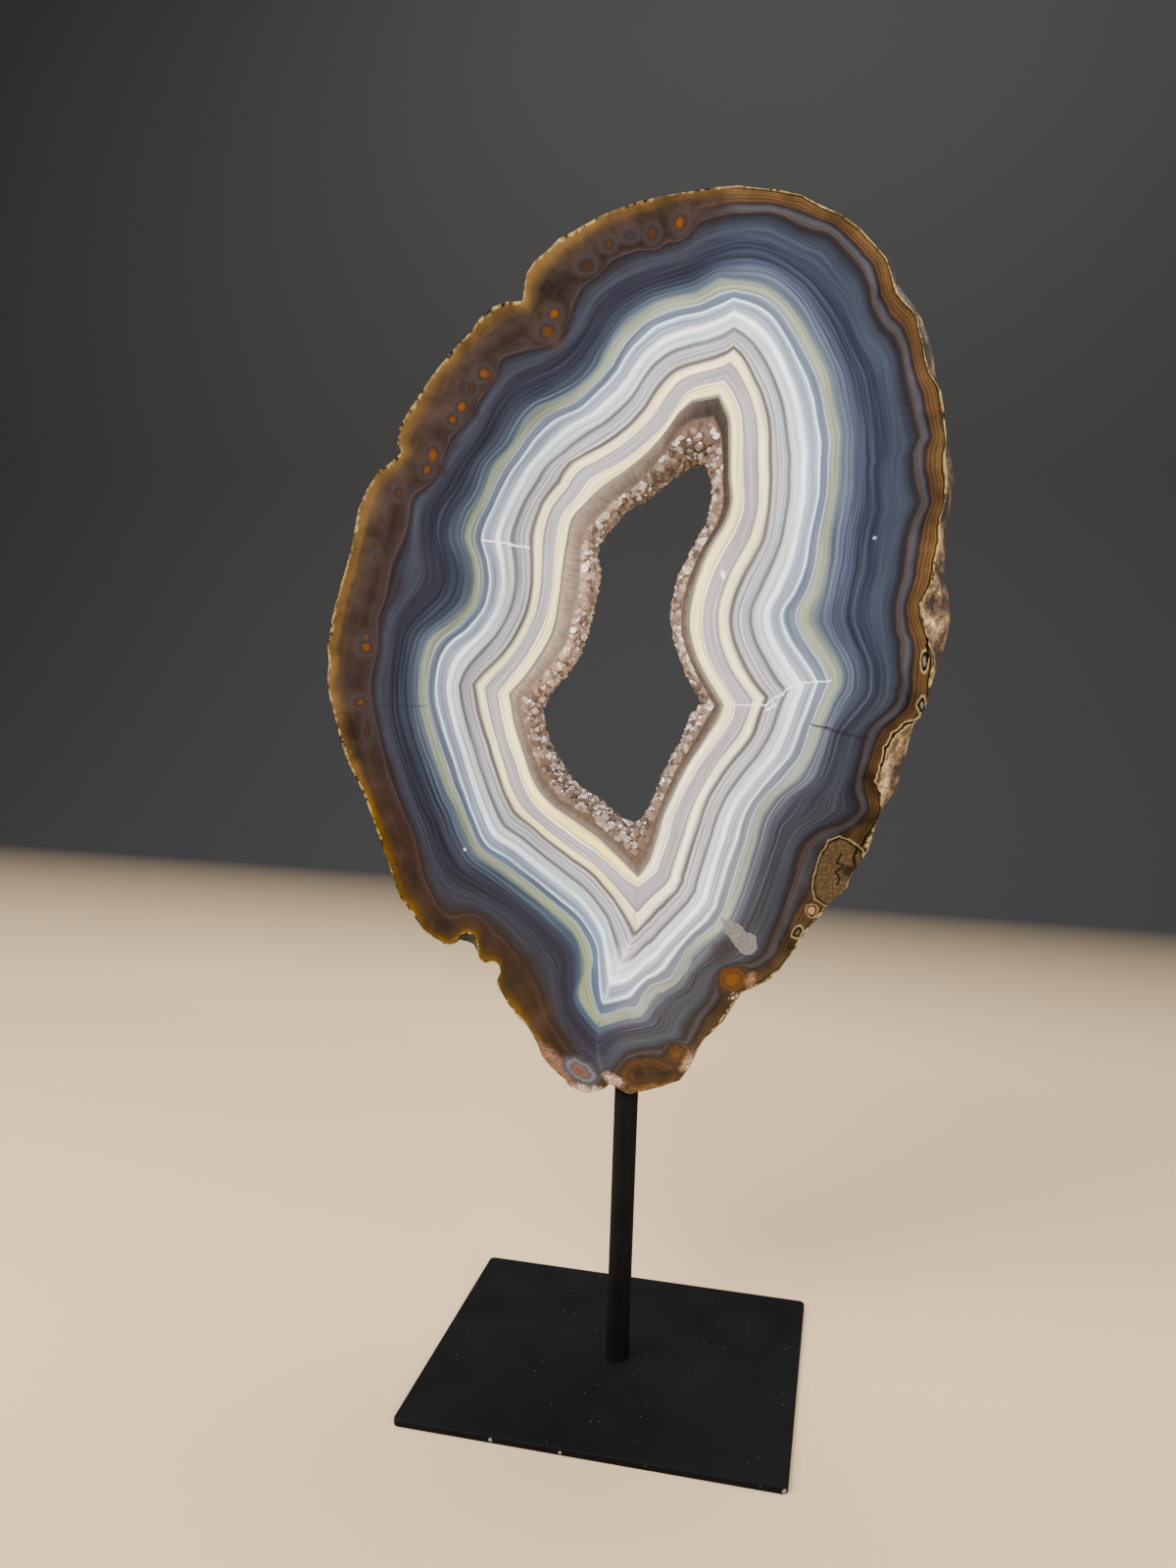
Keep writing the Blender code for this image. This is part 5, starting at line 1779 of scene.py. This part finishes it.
@dataclass(frozen=True)
class SmokyQuartz:
    """Smoky quartz: milky and massive where it lies on the agate, clearer in the points grown on it.

    The points keep their own smooth growth faces, so each one glints by itself. The hollow's left wall
    has painted light, and the massive quartz at its upper right has painted shade, with the points there
    paler. Millimetres, with shares of the way from the agate to the tips.
    """

    ior: float = 1.544
    join: Span = (0.46, 0.52)
    cloud_scale: float = 0.35
    cloud_shades: Span = (0.86, 1.14)
    streak_size: float = 1.1
    streak_length: float = 2.5
    streak_shades: Span = (0.8, 1.2)
    lit_spot: tuple[float, float, float] = (-29.0, 0.0, 254.0)
    lit_reach: Span = (14.0, 60.0)
    painted_light_left: Span = (1.42, 0.72)
    right_heights: Span = (235.0, 311.0)
    painted_shade_right: Span = (0.74, 0.36)
    right_points: float = 1.3
    right_reach: Span = (4.0, 18.0)
    clear_rise: Span = (0.5, 0.9)
    clearest: float = 0.45
    gloss_rise: Span = (0.45, 0.6)
    roughnesses: Span = (0.18, 0.06)

    def make(self) -> bpy.types.Material:
        """Build the material.

        Returns:
            The material for the crust.
        """
        material, tree, shader = new_material("smoky_quartz_druse")
        toward = add_node(tree, "Attribute", {"attribute_name": TOWARD_TIP})["Fac"]
        tone = add_node(tree, "Attribute", {"attribute_name": CRYSTAL_TONE})["Fac"]
        place = object_place(tree)
        massive = add_node(tree, "ValToRGB", None, (toward,), (
            (0.0, "#7a6d62"), (0.08, "#76685d"), (0.22, "#6a5b50"), (0.4, "#5c4e44"), (0.5, "#6c5c50"),
        ))[0]
        # The points' own tones vary at random; the palest few, near white, are painted highlights, as if their
        # facets glinted.
        point = add_node(tree, "ValToRGB", None, (tone,), (
            (0.0, "#58463a"), (0.25, "#7b6556"), (0.6, "#957d6d"), (0.82, "#ab9383"), (0.93, "#cdb9aa"),
            (1.0, "#f2e8df"),
        ))[0]
        share = add_node(tree, "MapRange", None, (toward, *self.join))[0]
        colour = add_node(tree, "Mix", COLOURS, {0: share, 6: massive, 7: point})[2]
        cloud = add_node(tree, "TexNoise", None, {
            "Vector": place, "Scale": self.cloud_scale, "Detail": 4.0,
        })["Fac"]
        value = add_node(tree, "MapRange", None, (cloud, *NOISE_RANGE, *self.cloud_shades))[0]
        growth = add_node(tree, "UVMap", {"uv_map": GROWTH_UV})[0]
        around = add_node(tree, "SeparateXYZ", None, (growth,))[0]
        along = add_node(tree, "Math", TIMES, (toward, self.streak_length * MM))[0]
        streak = add_node(tree, "CombineXYZ", None, (around, along))[0]
        streak = add_node(tree, "TexNoise", None, {
            "Vector": streak, "Scale": 1 / (self.streak_size * MM), "Detail": 2.0,
        })["Fac"]
        streak = add_node(tree, "MapRange", None, (streak, *NOISE_RANGE, *self.streak_shades))[0]
        # Painted light on the hollow's left wall, and painted shade on the massive quartz at its upper right.
        left = add_node(tree, "VectorMath", {"operation": "DISTANCE"}, (place, self.lit_spot))["Value"]
        left = add_node(tree, "MapRange", SMOOTH, (left, *self.lit_reach, *self.painted_light_left))[0]
        x, _, z = add_node(tree, "SeparateXYZ", None, (place,))
        right = add_node(tree, "MapRange", None, (z, *self.right_heights, *self.painted_shade_right))[0]
        right = add_node(tree, "MapRange", None, (share, 0.0, 1.0, right, self.right_points))[0]
        right = add_node(tree, "MapRange", None, (x, *self.right_reach, 1.0, right))[0]
        for part in (streak, left, right):
            value = add_node(tree, "Math", TIMES, (value, part))[0]
        colour = add_node(tree, "HueSaturation", None, {"Color": colour, "Value": value})[0]
        clear = add_node(tree, "MapRange", None, (toward, *self.clear_rise, 0.0, self.clearest))[0]
        rough = add_node(tree, "MapRange", None, (toward, *self.gloss_rise, *self.roughnesses))[0]
        tree.links.new(colour, shader.inputs["Base Color"])
        tree.links.new(clear, shader.inputs["Transmission Weight"])
        tree.links.new(rough, shader.inputs["Roughness"])
        shader.inputs["IOR"].default_value = self.ior
        return material


@dataclass(frozen=True)
class PowderCoat:
    """Black polyester powder coat, baked on steel. Millimetres.

    It is satin, with a fine orange-peel texture, a little dust, and a few chips on the plate's edge.
    """

    colour: str = "#070708"
    shades: Span = (0.7, 1.4)
    smear_size: float = 20.0
    roughnesses: Span = (0.56, 0.7)
    specular: float = 0.07
    dust_scale: float = 0.22
    dust_reach: Span = (0.055, 0.03)
    dust_colour: str = "#4a4844"
    peel_size: float = 0.9
    peel_depth: float = 0.03
    chip_colour: str = "#6f6c68"
    chip_edge: float = 0.7
    chips: tuple[tuple[float, float, float, float], ...] = (
        (-29.6, -53.5, 1.2, 0.7), (-7.3, -53.5, 1.0, 0.6), (61.0, -53.3, 1.0, 0.9),
    )

    def make(self) -> bpy.types.Material:
        """Build the material.

        Returns:
            The material for the plate and the bar.
        """
        material, tree, shader = new_material("black_powder_coated_steel")
        place = object_place(tree)
        smear = add_node(tree, "TexNoise", None, {
            "Vector": place, "Scale": 1 / self.smear_size, "Detail": 4.0,
        })["Fac"]
        shade = add_node(tree, "MapRange", None, (smear, *NOISE_RANGE, *self.shades))[0]
        colour = add_node(tree, "HueSaturation", None, {"Color": linear(self.colour), "Value": shade})[0]
        dust = add_node(tree, "TexVoronoi", None, {"Vector": place, "Scale": self.dust_scale})["Distance"]
        dust = add_node(tree, "MapRange", None, (dust, *self.dust_reach))[0]
        colour = add_node(tree, "Mix", COLOURS, {0: dust, 6: colour, 7: linear(self.dust_colour)})[2]
        for x, y, z, radius in self.chips:
            reach = add_node(tree, "VectorMath", {"operation": "DISTANCE"}, (place, (x, y, z)))["Value"]
            chip = add_node(tree, "MapRange", None, (reach, radius, radius * self.chip_edge))[0]
            colour = add_node(tree, "Mix", COLOURS, {0: chip, 6: colour, 7: linear(self.chip_colour)})[2]
        rough = add_node(tree, "MapRange", None, (smear, *NOISE_RANGE, *self.roughnesses))[0]
        peel = add_node(tree, "TexNoise", None, {
            "Vector": place, "Scale": 1 / self.peel_size, "Detail": 1.0,
        })["Fac"]
        bump = add_node(tree, "Bump", None, {
            "Height": peel, "Distance": self.peel_depth * MM, "Strength": 0.6,
        })[0]
        tree.links.new(colour, shader.inputs["Base Color"])
        tree.links.new(rough, shader.inputs["Roughness"])
        tree.links.new(bump, shader.inputs["Normal"])
        shader.inputs["Specular IOR Level"].default_value = self.specular
        return material


@dataclass(frozen=True)
class SweptPaper:
    """Studio background paper: matt, pale on the floor and shaded to charcoal as it rises behind."""

    floor: str = "#ad9673"
    wall: str = "#09090a"
    wall_start: float = 1.0
    wall_end: float = 60.0
    roughness: float = 0.9

    def make(self) -> bpy.types.Material:
        """Build the material.

        Returns:
            The material for the floor.
        """
        material, tree, shader = new_material("graduated_background_paper")
        place = add_node(tree, "TexCoord")["Object"]
        height = add_node(tree, "SeparateXYZ", None, (place,))[2]
        share = add_node(tree, "MapRange", None, (height, self.wall_start * MM, self.wall_end * MM))[0]
        colour = add_node(tree, "ValToRGB", None, (share,), ((0.0, self.floor), (1.0, self.wall)))[0]
        tree.links.new(colour, shader.inputs["Base Color"])
        shader.inputs["Roughness"].default_value = self.roughness
        return material


@dataclass(frozen=True)
class PhotoCamera:
    """The camera, where the photograph's perspective puts it. Millimetres and degrees."""

    place: tuple[float, float, float] = (69.41, -394.46, 248.85)
    yaw: float = 12.306
    pitch: float = 6.696
    roll: float = 1.779
    lens: float = 28.125
    sensor: float = 36.0

    def set_up(self) -> None:
        """Stand the camera in the scene. Its sensor lies along the picture's long side."""
        yaw, pitch, roll = (math.radians(angle) for angle in (self.yaw, self.pitch, self.roll))
        ahead = Vector((-math.sin(yaw) * math.cos(pitch), math.cos(yaw) * math.cos(pitch), -math.sin(pitch)))
        level = Vector((math.cos(yaw), math.sin(yaw), 0))
        upward = level.cross(ahead)
        right = math.cos(roll) * level + math.sin(roll) * upward
        up = math.cos(roll) * upward - math.sin(roll) * level
        camera = bpy.data.objects.new("camera", bpy.data.cameras.new("camera"))
        camera.data.lens = self.lens
        camera.data.sensor_width = self.sensor
        camera.data.clip_start = 0.01
        turn = Matrix((right, up, -ahead)).transposed().to_4x4()
        camera.matrix_world = Matrix.Translation(Vector(self.place) * MM) @ turn
        bpy.context.scene.collection.objects.link(camera)
        bpy.context.scene.camera = camera


@dataclass(frozen=True)
class Softbox:
    """A large soft light, aimed at the stone. Millimetres and watts."""

    name: str
    place: tuple[float, float, float]
    size: tuple[float, float]
    power: float

    def set_up(self) -> None:
        """Hang the light in the scene."""
        lamp = bpy.data.lights.new(self.name, "AREA")
        lamp.shape = "RECTANGLE"
        lamp.size, lamp.size_y = (side * MM for side in self.size)
        lamp.energy = self.power
        light = bpy.data.objects.new(self.name, lamp)
        aim = Vector((0, 0, AIM_HEIGHT)) - Vector(self.place)
        light.location = Vector(self.place) * MM
        light.rotation_euler = aim.to_track_quat("-Z", "Y").to_euler()
        bpy.context.scene.collection.objects.link(light)


@dataclass(frozen=True)
class Studio:
    """The plain pale studio: a swept floor, soft lights and a dim surround. Millimetres.

    The lights hang where the polished face can't mirror them into the camera.
    """

    half_width: float = 3000.0
    front: float = -3000.0
    back: float = 700.0
    wall: float = 2600.0
    sweep: float = 400.0
    surround: float = 0.25
    lights: tuple[Softbox, ...] = (
        Softbox("key_light", (-420, -620, 980), (600, 500), 26.0),
        Softbox("right_fill", (650, -420, 420), (350, 700), 9.0),
        Softbox("left_fill", (-800, -300, 350), (350, 600), 8.0),
        Softbox("top_light", (0, 250, 1100), (800, 600), 21.0),
    )

    def build(self) -> None:
        """Lay the floor, sweep it up behind the object, and hang the lights."""
        deselect_all()
        middle = (self.front + self.back) / 2
        bpy.ops.mesh.primitive_plane_add(size=1.0, location=(0, middle * MM, 0))
        floor = bpy.context.object
        floor.name = floor.data.name = "studio_floor"
        floor.scale = (2 * self.half_width * MM, (self.back - self.front) * MM, 1)
        bpy.ops.object.transform_apply(location=True, scale=True)
        back = self.back * MM
        pick(floor, "edges", lambda centre, along: centre.y > back - 1e-4)
        bpy.ops.mesh.extrude_region_move(TRANSFORM_OT_translate={"value": (0, 0, self.wall * MM)})
        pick(floor, "edges", lambda centre, along: centre.y > back - 1e-4 and abs(centre.z) < 1e-4)
        bpy.ops.mesh.bevel(offset=self.sweep * MM, segments=24, affect="EDGES")
        bpy.ops.object.mode_set(mode="OBJECT")
        bpy.ops.object.shade_smooth()
        floor.data.materials.append(SweptPaper().make())
        for light in self.lights:
            light.set_up()
        world = bpy.data.worlds.new("surround")
        world.use_nodes = True
        world.node_tree.nodes["Background"].inputs["Color"].default_value = linear("#e4e4e6")
        world.node_tree.nodes["Background"].inputs["Strength"].default_value = self.surround
        bpy.context.scene.world = world


def main() -> None:
    """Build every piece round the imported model."""
    logging.basicConfig(level=logging.INFO, format="%(message)s")
    LOG.info("frame: %s", ", ".join(frame["nodes"]))
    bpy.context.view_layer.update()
    PhotoCamera().set_up()
    Studio().build()
    growth = GrowthMap()
    LOG.info("growth map: %d spokes", len(growth.around) - 1)
    stone = AgateSlice(growth)
    piece = stone.build()
    stone.dress(piece)
    hand_over(piece, "agate", "agate_slice")
    crust = CrystalCrust(growth)
    piece = crust.build()
    crust.dress(piece)
    hand_over(piece, "quartz_crystal", "crystal_crust")
    stand = RodStand()
    plate, rod = stand.build_plate(), stand.build_rod()
    stand.dress(plate, rod)
    hand_over(plate, "stand_steel", "base_plate")
    hand_over(rod, "stand_steel", "rod")


if __name__ == "__main__":
    main()
